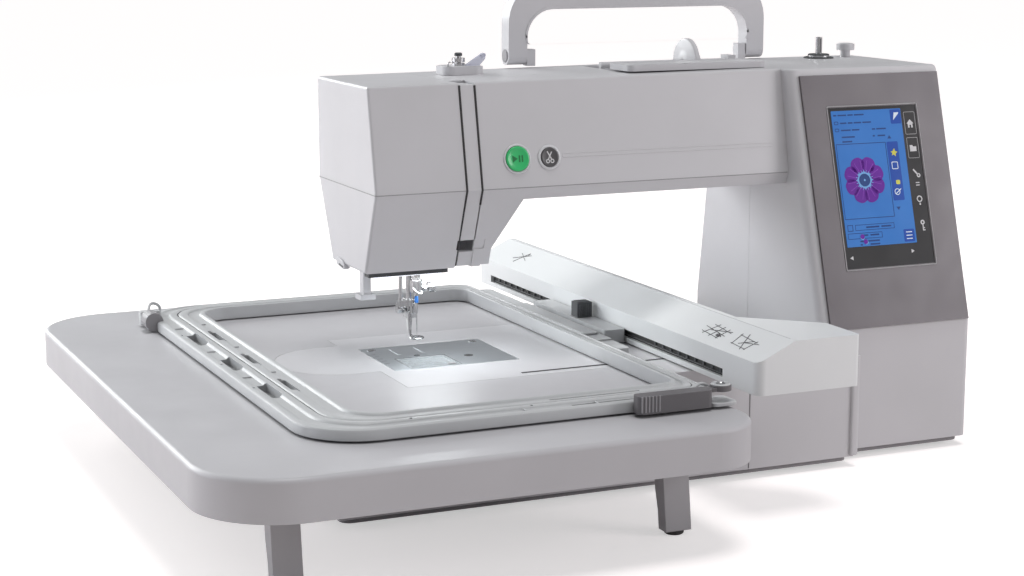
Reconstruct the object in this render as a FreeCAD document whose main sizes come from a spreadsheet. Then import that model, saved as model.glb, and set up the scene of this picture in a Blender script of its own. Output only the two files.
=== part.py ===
import FreeCAD, Part
import Sketcher
import math
import os
import re

# Embroidery machine with a wide hoop and an extension table.
# Millimetres, +Z up, +X to the operator's right, the operator stands at -Y.
# The origin is on the resting surface, under the middle of the whole object.

doc = FreeCAD.newDocument("EmbroideryMachine")
sheet = doc.addObject("Spreadsheet::Sheet", "Dims")

driving = {
    # common
    "skin": 2.5, "gap": 0.3, "softEdge": 2.0, "runFit": 0.05,
    # extension table
    "tableLeft": -340, "tableRight": 37, "tableFront": -277, "tableBack": 273,
    "tableDepth": 28, "tableCorner": 60, "tableInnerCorner": 38, "tableRoll": 3.5,
    # bed
    "bedLeft": -210, "bedSeam": 113, "blockRight": 208, "bedFront": -120, "bedBack": 90,
    "bedBottom": 4, "panThick": 4, "stepTop": 58, "deckTop": 88,
    "deckLeft": -145, "deckFront": -85, "noseLeft": -207, "noseFront": -29, "noseBack": 67,
    "slitLeft": -53, "slitRight": 178, "slitLine": -75, "slitWidth": 4,
    # column and its leaning front
    "columnLeft": 185, "columnRight": 324, "columnFront": -102.4, "columnBack": 75,
    "shoulder": 102.9, "columnLean": 15.97, "columnTop": 299, "columnRim": 8,
    # arm and head
    "headLeft": -155, "headBottomRight": -65, "armLeft": -38.4, "armUnder": 211,
    "headBottom": 160, "crease": 220, "headTop": 296,
    "armFrontTop": -34.5, "armFrontCrease": -50, "headFrontBottom": -25, "headBackBottom": 45,
    "casingSeam": 7, "coverEdge": -85, "channelRight": -72, "channelGap": 1.2, "channelFoot": 181,
    # control panel, measured along the leaning face
    "panelLeft": 193, "panelRight": 320, "panelHeight": 198, "panelThick": 2.2,
    "screenLeft": 214.3, "screenRight": 295.3, "screenLow": 46, "screenHigh": 172,
    # buttons on the arm
    "startX": -43.4, "startRadius": 9.4, "cutterX": -17.6, "cutterRadius": 7.2,
    "buttonRise": 21.2, "buttonDepth": 5, "buttonProud": 1.6,
    # needle, presser and plate
    "needleX": -101, "needleY": 11, "needleTip": 104, "needleBarRadius": 3.2,
    "presserY": 25, "presserRadius": 3, "footRing": 101,
    "plateLeft": -134.5, "plateRight": -35.5, "plateFront": -32, "plateBack": 48, "plateThick": 1.6,
    # rotary hook
    "hookY": -9, "hookRadius": 20, "hookTop": 84,
    # shafts
    "shaftHeight": 250, "shaftRadius": 5, "bushRadius": 8, "lowerShaftHeight": 32,
    "lowerShaftRadius": 4, "shaftPulleyRadius": 24, "motorPulleyRadius": 9, "motorHeight": 150,
    "beltLeft": 268, "beltWidth": 10, "beltThick": 1.6,
    "wheelLeft": 324.6, "wheelRight": 340, "wheelRadius": 34,
    # handle
    "handleLeft": -1, "handleRight": 229, "handleLegWidth": 16, "handleFront": 65, "handleBack": 79,
    "handleFoot": 300, "handleTop": 366, "handleOpenTop": 343, "handlePivot": 307,
    # top of the arm
    "lidLeft": 60, "lidRight": 180, "lidFront": -22, "lidBack": 14, "lidThick": 4.5,
    "spoolY": 40, "spoolHeight": 300, "spoolCapRadius": 19, "spoolCapLeft": 142,
    "winderX": 274, "winderY": 51, "stopperX": 301, "stopperY": 52.5,
    "guideX": -54, "guideY": 40,
    # carriage housing
    "housingLeft": 63, "housingRidge": 93, "housingRight": 98, "housingFront": -213,
    "housingBack": 277, "housingBottom": 89, "housingShoulder": 112, "housingTop": 126,
    "wingRight": 146, "wingBack": -169, "wingRoot": -123,
    "slotFront": -165, "slotBack": 249, "slotLow": 93, "slotHigh": 99,
    # hoop and its carriage
    "hoopLeft": -260, "hoopRight": 30, "hoopFront": -219, "hoopBack": 229, "hoopCorner": 46, "hoopRightCorner": 14,
    "hoopLow": 89.5, "hoopTop": 100,
    "jointLeft": -240, "jointRight": 22, "jointFront": -203, "jointBack": 214, "jointCorner": 34, "jointRightCorner": 12,
    "openLeft": -219, "openRight": 15, "openFront": -187, "openBack": 199, "openCorner": 24, "openRightCorner": 13,
    "bracketRight": 44, "bracketFront": -30, "bracketBack": 130,
    "neckFront": 15.5, "neckBack": 68.5, "knobX": 53, "knobY": 43,
    # table legs
    "legRight": -1, "legLeft": -278, "legWidth": 24, "legPivotY": 205, "legPivotZ": 68, "legFootY": 214,
}
for row, (alias, size) in enumerate(driving.items(), start=1):
    sheet.set(f"A{row}", alias)
    sheet.set(f"B{row}", str(size))
    sheet.setAlias(f"B{row}", alias)
doc.recompute()

nodes = {}
turnTo = {
    "X": FreeCAD.Rotation(FreeCAD.Vector(0, 1, 0), 90),
    "Y": FreeCAD.Rotation(FreeCAD.Vector(1, 0, 0), -90),
    "Z": FreeCAD.Rotation(),
}


def bound(rule):
    """Write a rule such as 'deckTop - skin' as an expression on the sheet."""
    return re.sub(r"[A-Za-z]\w+", lambda word: "Dims." + word.group(0), str(rule))


def size(rule):
    """The number that a rule gives, in mm."""
    answer = sheet.evalExpression(bound(rule))
    return float(getattr(answer, "Value", answer))


def place(solid, spot):
    for axis, rule in zip("xyz", spot):
        solid.setExpression(f"Placement.Base.{axis}", bound(rule))


def block(name, low, high):
    """A box from its low corner to its high corner."""
    solid = doc.addObject("Part::Box", name)
    for side, start, end in zip(("Length", "Width", "Height"), low, high):
        solid.setExpression(side, bound(f"({end}) - ({start})"))
    place(solid, low)
    return solid


def rod(name, axis, spot, radius, length):
    """A cylinder that starts at spot and runs along +axis."""
    solid = doc.addObject("Part::Cylinder", name)
    solid.Placement = FreeCAD.Placement(FreeCAD.Vector(), turnTo[axis])
    solid.setExpression("Radius", bound(radius))
    solid.setExpression("Height", bound(length))
    place(solid, spot)
    return solid


def taper(name, spot, lowRadius, highRadius, length):
    """An upright cone that starts at spot."""
    solid = doc.addObject("Part::Cone", name)
    solid.setExpression("Radius1", bound(lowRadius))
    solid.setExpression("Radius2", bound(highRadius))
    solid.setExpression("Height", bound(length))
    place(solid, spot)
    return solid


def fuse(name, *pieces):
    solid = doc.addObject("Part::MultiFuse", name)
    solid.Shapes = list(pieces)
    return solid


def cut(name, base, *tools):
    solid = doc.addObject("Part::Cut", name)
    solid.Base = base
    solid.Tool = tools[0] if len(tools) == 1 else fuse(name + "Tools", *tools)
    return solid


def common(name, first, second):
    solid = doc.addObject("Part::Common", name)
    solid.Base = first
    solid.Tool = second
    return solid


def group(name, *pieces):
    solid = doc.addObject("Part::Compound", name)
    solid.Links = list(pieces)
    return solid


def rounded(name, base, picks):
    """Fillet a solid: picks is a list of (test of an edge's middle and direction, radius rule)."""
    doc.recompute()
    edges = []
    for index, edge in enumerate(base.Shape.Edges, start=1):
        if edge.Curve.TypeId != "Part::GeomLine":
            continue
        middle = edge.valueAt((edge.FirstParameter + edge.LastParameter) / 2)
        along = edge.tangentAt(edge.FirstParameter)
        for test, radius in picks:
            if test(middle, along):
                edges.append((index, size(radius), size(radius)))
                break
    solid = doc.addObject("Part::Fillet", name)
    solid.Base = base
    solid.Edges = edges
    return solid


def upright(middle, along):
    return abs(along.z) > 0.99


def prism(name, plane, outline, start, end):
    """A PartDesign body: a closed outline on a plane through the origin, padded from start to end.

    The outline's points are pairs of rules. XZ outlines are (x, z) and pad along Y,
    YZ outlines are (y, z) and pad along X, XY outlines are (x, y) and pad along Z."""
    body = doc.addObject("PartDesign::Body", name)
    face = [item for item in body.Origin.OriginFeatures if item.Role == plane + "_Plane"][0]
    sketch = body.newObject("Sketcher::SketchObject", name + "Outline")
    sketch.AttachmentSupport = [(face, "")]
    sketch.MapMode = "FlatFace"
    points = [FreeCAD.Vector(size(u), size(v), 0) for u, v in outline]
    count = len(points)
    for index in range(count):
        sketch.addGeometry(Part.LineSegment(points[index], points[(index + 1) % count]), False)
    for index in range(count):
        following = (index + 1) % count
        sketch.addConstraint(Sketcher.Constraint("Coincident", index, 2, following, 1))
    for index, (u, v) in enumerate(outline):
        for kind, rule, number in (("DistanceX", u, points[index].x), ("DistanceY", v, points[index].y)):
            mark = sketch.addConstraint(Sketcher.Constraint(kind, -1, 1, index, 1, number))
            sketch.setExpression(f"Constraints[{mark}]", bound(rule))
    # the XZ plane looks along -Y, so its pad starts from the far side
    outward = -1 if plane == "XZ" else 1
    first = end if plane == "XZ" else start
    sketch.setExpression("AttachmentOffset.Base.z", bound(f"{outward} * ({first})"))
    pad = body.newObject("PartDesign::Pad", name + "Pad")
    pad.Profile = sketch
    pad.setExpression("Length", bound(f"({end}) - ({start})"))
    body.Tip = pad
    return body


def tilted(name, lean, corner, low, high):
    """A box drawn on a leaning face: local x is along X, local y is up the face, local z is outward."""
    solid = doc.addObject("Part::Box", name)
    rise = 90 - size(lean)
    turn = FreeCAD.Rotation(FreeCAD.Vector(1, 0, 0), rise)
    start = FreeCAD.Vector(*[size(rule) for rule in low])
    spot = FreeCAD.Vector(*[size(rule) for rule in corner]) + turn.multVec(start)
    solid.Placement = FreeCAD.Placement(spot, turn)
    for side, first, last in zip(("Length", "Width", "Height"), low, high):
        solid.setExpression(side, bound(f"({last}) - ({first})"))
    return solid


def leaning_rod(name, lean, spot, radius, inside, outside):
    """A cylinder square to a leaning face, from inside it to outside it."""
    turn = FreeCAD.Rotation(FreeCAD.Vector(1, 0, 0), 90 - size(lean))
    start = FreeCAD.Vector(*[size(rule) for rule in spot]) + turn.multVec(FreeCAD.Vector(0, 0, -size(inside)))
    solid = doc.addObject("Part::Cylinder", name)
    solid.Placement = FreeCAD.Placement(start, turn)
    solid.setExpression("Radius", bound(radius))
    solid.setExpression("Height", bound(f"({inside}) + ({outside})"))
    return solid


def keep(node, solid):
    solid.Label = node
    nodes[node] = solid


def soft_block(name, low, high, radius, test=upright):
    return rounded(name, block(name + "Block", low, high), [(test, radius)])



# ---------------------------------------------------------------- base and bed
keep("base_pan", fuse("basePan",
                      soft_block("panWide", ("bedLeft + 4", "columnFront + 4", "bedBottom"),
                                 ("columnRight - 4", "bedBack - 4", "bedBottom + panThick"), 8),
                      soft_block("panFront", ("bedLeft + 4", "bedFront + 4", "bedBottom"),
                                 ("blockRight - 4", "bedBack - 4", "bedBottom + panThick"), 8)))
feet = [rod(f"foot{index}", "Z", (x, y, 0), 11, "bedBottom")
        for index, (x, y) in enumerate(((-185, -75), (-185, 62), (300, -75), (300, 62), (60, -75)))]
keep("base_feet", group("baseFeet", *feet))

floorLine = "bedBottom + panThick"
bedLower = block("bedLower", ("bedLeft", "bedFront", floorLine), ("bedSeam - gap", "bedBack", "stepTop"))
deckWide = block("deckWide", ("deckLeft", "deckFront", "stepTop - skin"), ("bedSeam - gap", "bedBack", "deckTop"))
deckCorner = block("deckCorner", ("tableRight + gap", "bedFront", "stepTop - skin"),
                   ("bedSeam - gap", "deckFront + 1", "deckTop"))
nose = rounded("nose", block("noseBlock", ("noseLeft", "noseFront", "stepTop - skin"),
                             ("deckLeft + 1", "noseBack", "deckTop")),
               [(lambda middle, along: upright(middle, along) and middle.x < size("deckLeft"), 44)])
bedOuter = fuse("bedOuter", bedLower, deckWide, deckCorner, nose)
bedInner = block("bedInner", ("bedLeft + skin", "bedFront + skin", "bedBottom"),
                 ("bedSeam + 1", "bedBack - skin", "stepTop - skin"))
deckInner = block("deckInner", ("deckLeft + skin", "deckFront + skin", "stepTop - skin - 1"),
                  ("bedSeam + 1", "bedBack - skin", "deckTop - skin"))
plateSeat = block("plateSeat", ("plateLeft - 0.3", "plateFront - 0.3", "deckTop - plateThick"),
                  ("plateRight + 0.3", "plateBack + 0.3", "deckTop + 1"))
plateWell = block("plateWell", ("plateLeft + 5", "plateFront + 3", "deckTop - skin - 1"),
                  ("plateRight - 5", "plateBack - 5", "deckTop + 1"))
slit = block("slit", ("slitLeft", "slitLine - slitWidth / 2", "deckTop - skin - 1"),
             ("slitRight", "slitLine + slitWidth / 2", "deckTop + 1"))
keep("bed_casing", cut("bedCasing", bedOuter, bedInner, deckInner, plateSeat, plateWell, slit))

beamHole = block("beamHole", (180, 43, 13), (213, 59, 51))
lowerShaftHole = rod("lowerShaftHole", "X", (180, "needleY", "lowerShaftHeight"), "lowerShaftRadius + 1", 40)
cornerOuter = fuse(
    "cornerOuter",
    block("cornerMain", ("bedSeam", "bedFront", floorLine), ("columnLeft - gap", "bedBack", "deckTop")),
    rounded("cornerFront", block("cornerFrontBlock", ("bedSeam + 20", "bedFront", floorLine),
                                 ("blockRight", "columnFront - gap", "deckTop")),
            [(lambda middle, along: upright(middle, along) and middle.x > size("columnLeft")
              and middle.y < size("columnFront - 5"), 4)]))
cornerInner = block("cornerInner", ("bedSeam - 1", "bedFront + skin", "bedBottom"),
                    ("columnLeft - gap - skin", "bedBack - skin", "deckTop - skin"))
keep("corner_block", cut("cornerBlock", cornerOuter, cornerInner, slit, beamHole, lowerShaftHole))

# ---------------------------------------------------------------- arm, head and column
leanSlope = math.tan(math.radians(size("columnLean")))
armSlope = size("(armFrontTop - armFrontCrease) / (headTop - crease)")
armLean = math.degrees(math.atan(armSlope))
columnTopFront = f"columnFront + (columnTop - shoulder) * {leanSlope}"
armFrontHigh = f"armFrontTop + (columnTop - headTop) * {armSlope}"


def body_solid(name, inset):
    """Arm, head and column as one solid, drawn in from every outer face by inset."""
    arm = common(
        name + "Arm",
        prism(name + "FrontView", "XZ",
              [(f"headLeft + {inset}", f"headBottom + {inset}"),
               (f"headBottomRight - {0.6 * inset}", f"headBottom + {inset}"),
               (f"armLeft - {0.6 * inset}", f"armUnder + {inset}"),
               (f"columnLeft + {4 + inset}", f"armUnder + {inset}"),
               (f"columnLeft + {4 + inset}", f"columnTop - {inset}"),
               (f"headLeft + {inset}", f"headTop - {inset}")], "-120", "120"),
        prism(name + "SideView", "YZ",
              [(f"headFrontBottom + {1.1 * inset}", "headBottom - 2"),
               (f"armFrontCrease + {1.03 * inset}", "crease"),
               (f"{armFrontHigh} + {1.03 * inset}", "columnTop + 2"),
               (f"columnBack - {inset}", "columnTop + 2"),
               (f"columnBack - {inset}", "crease"),
               (f"headBackBottom - {1.1 * inset}", "headBottom - 2")], "headLeft - 5", "columnLeft + 10"))
    column = prism(name + "Column", "YZ",
                   [(f"columnFront + {inset}", "bedBottom + panThick"),
                    (f"columnFront + {inset}", "shoulder"),
                    (f"{columnTopFront} + {inset}", f"columnTop - {inset}"),
                    (f"columnBack - {inset}", f"columnTop - {inset}"),
                    (f"columnBack - {inset}", "armUnder"),
                    (f"bedBack - {inset}", "shoulder"),
                    (f"bedBack - {inset}", "bedBottom + panThick")],
                   f"columnLeft + {inset}", f"columnRight - {inset}")
    return arm, column


outerArm, outerColumn = body_solid("outer", 0)
innerArm, innerColumn = body_solid("inner", 2.5)
columnSoft = rounded("columnSoft", outerColumn, [
    (lambda middle, along: middle.x < size("columnLeft + 1") and middle.y < 0 and middle.z > size("shoulder")
     and abs(along.z) > 0.9, "columnRim"),
    (lambda middle, along: middle.x > size("columnRight - 1") and abs(along.z) > 0.5, "3 * softEdge"),
    (lambda middle, along: middle.x > size("columnRight - 1") and middle.z > size("columnTop - 1"), "3 * softEdge"),
    (lambda middle, along: middle.z > size("columnTop - 1"), "softEdge"),
])
armSoft = rounded("armSoft", outerArm, [
    (lambda middle, along: middle.x < size("headLeft + 1"), "softEdge"),
    (lambda middle, along: middle.z > size("headTop - 1") and abs(along.x) > 0.9, "softEdge"),
])
headSoft = fuse("casingOuter", armSoft, columnSoft)
casingInner = fuse("casingInner", innerArm, innerColumn)
needleWindow = block("needleWindow", ("needleX - 22", "needleY - 22", "headBottom - 2"),
                     ("needleX + 20", "needleY + 26", "headBottom + 6"))
spoolTray = block("spoolTray", ("lidLeft + 2", "lidBack + 4", "columnTop - 24"),
                  ("lidRight + 6", "handleFront - 3", "columnTop + 2"))
footSlot = block("footSlot", ("coverEdge - 1", "armFrontCrease - 5", "channelFoot - 7"),
                 ("channelRight + 8", "casingSeam - 14", "channelFoot + 0.5"))
startHole = leaning_rod("startHole", armLean, ("startX", f"armFrontCrease + buttonRise * {armSlope}",
                                               "crease + buttonRise"), "startRadius + gap", 8, 3)
cutterHole = leaning_rod("cutterHole", armLean, ("cutterX", f"armFrontCrease + buttonRise * {armSlope}",
                                                 "crease + buttonRise"), "cutterRadius + gap", 8, 3)
shaftHole = rod("shaftHole", "X", ("columnRight - 10", "needleY", "shaftHeight"), "shaftRadius + 1", 20)
inletHole = block("inletHole", ("columnRight - 10", 40, 20), ("columnRight + 5", 64, 40))
switchHole = block("switchHole", ("columnRight - 10", 8, 20), ("columnRight + 5", 32, 40))
leverHole = block("leverHole", (-142, 28, "headBottom - 4"), (-124, 62, "headBottom + 26"))
shell = cut("shell", headSoft, casingInner, needleWindow, spoolTray, footSlot, startHole, cutterHole,
            shaftHole, inletHole, switchHole, leverHole)
frontBand = "armFrontCrease - 10"
keep("face_cover", common("faceCover", shell,
                          block("coverZone", ("headLeft - 5", "-130", "headBottom - 5"),
                                ("coverEdge", "columnBack + 5", "columnTop + 5"))))
channelZone = block("channelZone", ("coverEdge + channelGap", frontBand, "channelFoot"),
                    ("channelRight - channelGap", "casingSeam - 22", "headTop - 1"))
keep("thread_channel", common("threadChannel", shell, channelZone))
channelSpace = block("channelSpace", ("coverEdge", frontBand, "headBottom - 4"),
                     ("channelRight", "casingSeam - 22 + gap", "headTop + 5"))
frontZone = block("frontZone", ("coverEdge + gap", "-130", "bedBottom"),
                  ("columnRight + 5", "casingSeam", "columnTop + 5"))
rearZone = block("rearZone", ("coverEdge + gap", "casingSeam + gap", "bedBottom"),
                 ("columnRight + 5", "bedBack + 5", "columnTop + 5"))
keep("front_casing", cut("frontCasing", common("frontHalf", shell, frontZone), channelSpace))
rearHalf = common("rearHalf", shell, rearZone)
trayFloor = cut("trayShell", block("trayBlock", ("lidLeft", "lidBack + 2", "columnTop - 26"),
                                   ("lidRight + 8", "handleFront - 1", "columnTop - 3")), spoolTray)
keep("rear_casing", cut("rearCasing", fuse("rearCasingSolid", rearHalf, trayFloor), beamHole, lowerShaftHole))

# ---------------------------------------------------------------- control panel
panelFoot = ("0", "columnFront", "shoulder")
bezel = tilted("bezel", "columnLean", panelFoot, ("panelLeft", 0, 0), ("panelRight", "panelHeight", "panelThick"))
screenGap = tilted("screenGap", "columnLean", panelFoot, ("screenLeft", "screenLow", -1),
                   ("screenRight", "screenHigh", "panelThick + 1"))
keep("control_bezel", cut("controlBezel", bezel, screenGap))
keep("touch_screen", tilted("touchScreen", "columnLean", panelFoot,
                            ("screenLeft + 0.2", "screenLow + 0.2", 0.05),
                            ("screenRight - 0.2", "screenHigh - 0.2", "panelThick - 0.5")))

# ---------------------------------------------------------------- buttons
buttonSpot = (f"armFrontCrease + buttonRise * {armSlope}", "crease + buttonRise")
keep("start_stop_button", leaning_rod("startButton", armLean, ("startX",) + buttonSpot,
                                      "startRadius", "buttonDepth", "buttonProud"))
keep("thread_cut_button", leaning_rod("cutterButton", armLean, ("cutterX",) + buttonSpot,
                                      "cutterRadius", "buttonDepth", "buttonProud - 0.4"))

# ---------------------------------------------------------------- needle plate and bobbin cover
coverWindow = block("coverWindow", ("needleX - 19", "plateFront + 4", "deckTop - plateThick - 1"),
                    ("needleX + 19", "needleY - 6", "deckTop + 1"))
needleHole = rod("needleHole", "Z", ("needleX", "needleY", "deckTop - plateThick - 1"), 1.4, 5)
plateBlock = soft_block("plateBlock", ("plateLeft", "plateFront", "deckTop - plateThick"),
                        ("plateRight", "plateBack", "deckTop"), 1.5)
keep("needle_plate", cut("needlePlate", plateBlock, coverWindow, needleHole))
keep("bobbin_cover", block("bobbinCover", ("needleX - 18.8", "plateFront + 4.2", "deckTop - plateThick"),
                           ("needleX + 18.8", "needleY - 6.2", "deckTop - 0.1")))

# ---------------------------------------------------------------- handle
handleOuter = rounded("handleOuter", block("handleBlock", ("handleLeft", "handleFront", "handleFoot"),
                                           ("handleRight", "handleBack", "handleTop")),
                      [(lambda middle, along: abs(along.y) > 0.9 and middle.z > size("handleTop - 1"), 34),
                       (lambda middle, along: abs(along.x) > 0.9 and middle.z < size("handleFoot + 1"), 6.5)])
handleOpen = rounded("handleOpening", block("handleOpeningBlock",
                                            ("handleLeft + handleLegWidth", "handleFront - 1", "handleFoot - 1"),
                                            ("handleRight - handleLegWidth", "handleBack + 1", "handleOpenTop")),
                     [(lambda middle, along: abs(along.y) > 0.9 and middle.z > size("handleOpenTop - 1"), 22)])
pivotY = "(handleFront + handleBack) / 2"
pivotBore = rod("pivotBore", "X", ("handleLeft - 1", pivotY, "handlePivot"), "3 + runFit", "handleRight - handleLeft + 2")
keep("carrying_handle", cut("carryingHandle", handleOuter, handleOpen, pivotBore))
pivots = []
for side, inner, direction in (("Left", "handleLeft + handleLegWidth + gap", 1),
                               ("Right", "handleRight - handleLegWidth - gap", -1)):
    low, high = (inner, f"{inner} + 7") if direction > 0 else (f"{inner} - 7", inner)
    ear = block(f"ear{side}", (low, "handleFront + 1", "columnTop"), (high, "handleBack - 5", "handlePivot + 5"))
    start = f"{low} - 15" if direction > 0 else low
    pin = rod(f"pin{side}", "X", (start, pivotY, "handlePivot"), 3, 22)
    pivots.append(fuse(f"pivot{side}", ear, pin))
keep("handle_pivots", group("handlePivots", *pivots))

# ---------------------------------------------------------------- top of the arm
lidPlate = soft_block("lidPlate", ("lidLeft", "lidFront", "columnTop + gap"),
                      ("lidRight", "lidBack", "columnTop + gap + lidThick"), 5)
lidBarrel = rod("lidBarrel", "X", ("lidLeft + 8", "lidBack", "columnTop + gap + lidThick / 2"), 2.2, 104)
keep("top_lid", fuse("topLid", lidPlate, lidBarrel))
pinRod = rod("pinRod", "X", ("lidLeft + 6", "spoolY", "spoolHeight"), 2.5, "lidRight - lidLeft")
pinFoot = block("pinFoot", ("lidRight - 2", "spoolY - 6", "columnTop - 24"), ("lidRight + 5", "spoolY + 6", "spoolHeight + 5"))
keep("spool_pin", fuse("spoolPin", pinRod, pinFoot))
capDisc = rod("capDisc", "X", ("spoolCapLeft", "spoolY", "spoolHeight"), "spoolCapRadius", 3)
capHub = rod("capHub", "X", ("spoolCapLeft + 2", "spoolY", "spoolHeight"), 8, 8)
capBore = rod("capBore", "X", ("spoolCapLeft - 1", "spoolY", "spoolHeight"), "2.5 + runFit", 20)
keep("spool_cap", cut("spoolCap", fuse("capSolid", capDisc, capHub), capBore))
keep("winder_spindle", fuse("winderSpindle",
                            rod("winderSeat", "Z", ("winderX", "winderY", "columnTop + gap"), 9, 2.2),
                            rod("winderPin", "Z", ("winderX", "winderY", "columnTop + gap"), 2.7, 17)))
keep("winder_stopper", fuse("winderStopper",
                            rod("stopperStem", "Z", ("stopperX", "stopperY", "columnTop"), 4, 7.8),
                            rod("stopperDisc", "Z", ("stopperX", "stopperY", "columnTop + 6"), 7.5, 5)))
keep("thread_guide", soft_block("threadGuide", ("guideX - 16", "guideY - 14", "columnTop - 2"),
                                ("guideX + 17", "guideY + 12", "columnTop + 4"), 8))
keep("tension_discs", fuse("tensionDiscs",
                           rod("tensionPost", "Z", ("guideX", "guideY", "columnTop + 4"), 2, 8),
                           rod("tensionLow", "Z", ("guideX", "guideY", "columnTop + 4.5"), 5, 1.6),
                           rod("tensionHigh", "Z", ("guideX", "guideY", "columnTop + 7"), 5, 3)))

# ---------------------------------------------------------------- inner frame and shafts
beam = block("armBeam", ("coverEdge + 20", 44, "columnTop - 75"), (300, 58, "columnTop - 30"))
post = block("post", (215, 44, 12), (262, 58, "columnTop - 60"))
bedBeam = block("bedBeam", ("bedLeft + 12", 44, 14), (262, 58, 50))
bearings = []
for index, x in enumerate((-40, 228)):
    bearings.append(block(f"bearing{index}", (x, "needleY - 13", "shaftHeight - 13"), (f"{x} + 12", 46, "shaftHeight + 13")))
lowBearings = []
for index, x in enumerate((-62, 195)):
    lowBearings.append(block(f"lowBearing{index}", (x, "needleY - 10", 18), (f"{x} + 10", 46, "lowerShaftHeight + 10")))
upperBore = rod("upperBore", "X", (-60, "needleY", "shaftHeight"), "bushRadius", 330)
lowerBore = rod("lowerBore", "X", (-80, "needleY", "lowerShaftHeight"), "lowerShaftRadius + runFit", 330)
keep("frame_casting", cut("frameCasting", fuse("frameSolid", beam, post, bedBeam, *bearings, *lowBearings),
                          upperBore, lowerBore))
bushes = []
for index, x in enumerate((-40, 228)):
    bushes.append(cut(f"bush{index}",
                      rod(f"bushOuter{index}", "X", (x, "needleY", "shaftHeight"), "bushRadius", 12),
                      rod(f"bushInner{index}", "X", (f"{x} - 1", "needleY", "shaftHeight"), "shaftRadius + runFit", 14)))
keep("shaft_bushes", group("shaftBushes", *bushes))
keep("main_shaft", fuse("mainShaft",
                        rod("shaftBar", "X", ("needleX + 10", "needleY", "shaftHeight"), "shaftRadius", "wheelLeft - needleX - 10"),
                        rod("crankDisc", "X", ("needleX + 13", "needleY", "shaftHeight"), 22, 10),
                        rod("crankPin", "X", ("needleX + 5", "needleY", "shaftHeight + 17"), 3, 9)))
keep("handwheel", cut("handWheel",
                      rod("wheelDisc", "X", ("wheelLeft", "needleY", "shaftHeight"), "wheelRadius",
                          "wheelRight - wheelLeft"),
                      rod("wheelDish", "X", ("wheelRight - 4", "needleY", "shaftHeight"), 24, 10)))
keep("shaft_pulley", cut("shaftPulley",
                         rod("shaftPulleyDisc", "X", ("beltLeft", "needleY", "shaftHeight"), "shaftPulleyRadius", "beltWidth"),
                         rod("shaftPulleyBore", "X", ("beltLeft - 1", "needleY", "shaftHeight"), "shaftRadius", "beltWidth + 2")))
keep("motor", fuse("driveMotor",
                   rod("motorCan", "X", (200, "needleY", "motorHeight"), 27, 58),
                   block("motorMount", (254, "needleY - 20", "motorHeight - 20"), (258, 44, "motorHeight + 20"))))
keep("motor_pulley", fuse("motorPulley",
                          rod("motorPulleyDisc", "X", ("beltLeft", "needleY", "motorHeight"), "motorPulleyRadius", "beltWidth"),
                          rod("motorAxle", "X", (258.4, "needleY", "motorHeight"), 2.5, "beltLeft + beltWidth - 258.4")))


def belt_loop(name, lowRadius, highRadius):
    """The outline of a belt round two pulleys, one above the other, as a face at beltLeft."""
    x, y = size("beltLeft"), size("needleY")
    low, high = size("motorHeight"), size("shaftHeight")
    lean = math.asin((highRadius - lowRadius) / (high - low))

    def rim(centre, radius, angle):
        return FreeCAD.Vector(x, y + radius * math.cos(angle), centre + radius * math.sin(angle))

    right, left = -lean, math.pi + lean
    edges = [
        Part.LineSegment(rim(low, lowRadius, right), rim(high, highRadius, right)).toShape(),
        Part.Arc(rim(high, highRadius, right), rim(high, highRadius, math.pi / 2), rim(high, highRadius, left)).toShape(),
        Part.LineSegment(rim(high, highRadius, left), rim(low, lowRadius, left)).toShape(),
        Part.Arc(rim(low, lowRadius, left), rim(low, lowRadius, -math.pi / 2), rim(low, lowRadius, right)).toShape(),
    ]
    return Part.Face(Part.Wire(edges))


beltSlack = size("gap")
beltWidth = FreeCAD.Vector(size("beltWidth"), 0, 0)
beltOutside = belt_loop("outside", size("motorPulleyRadius + beltThick") + beltSlack,
                        size("shaftPulleyRadius + beltThick") + beltSlack).extrude(beltWidth)
beltInside = belt_loop("inside", size("motorPulleyRadius") + beltSlack,
                       size("shaftPulleyRadius") + beltSlack).extrude(beltWidth)
belt = doc.addObject("Part::Feature", "driveBelt")
belt.Shape = beltOutside.cut(beltInside)
keep("drive_belt", belt)

keep("lower_shaft", fuse("lowerShaft",
                         rod("lowerBar", "X", ("needleX - 8", "needleY", "lowerShaftHeight"), "lowerShaftRadius", 330),
                         rod("lowerGear", "X", ("needleX - 5", "needleY", "lowerShaftHeight"), 11.6, 10)))
hookCup = cut("hookCup", rod("hookWall", "Z", ("needleX", "hookY", "hookTop - 18"), "hookRadius - 0.8", 18),
              rod("hookHollow", "Z", ("needleX", "hookY", "hookTop - 15"), "hookRadius - 3.5", 20))
keep("rotary_hook", fuse("rotaryHook", hookCup,
                         rod("hookStem", "Z", ("needleX", "hookY", 26), 3.5, "hookTop - 18 - 25"),
                         rod("hookGear", "Z", ("needleX", "hookY", 27), 8, 10)))
keep("bobbin", cut("bobbinSolid",
                   fuse("bobbinFlanges",
                        rod("bobbinLow", "Z", ("needleX", "hookY", "hookTop - 13"), 10.3, 1),
                        rod("bobbinHigh", "Z", ("needleX", "hookY", "hookTop - 2.5"), 10.3, 1),
                        rod("bobbinCore", "Z", ("needleX", "hookY", "hookTop - 13"), 4.5, 11)),
                   rod("bobbinBore", "Z", ("needleX", "hookY", "hookTop - 14"), 3, 14)))

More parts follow.
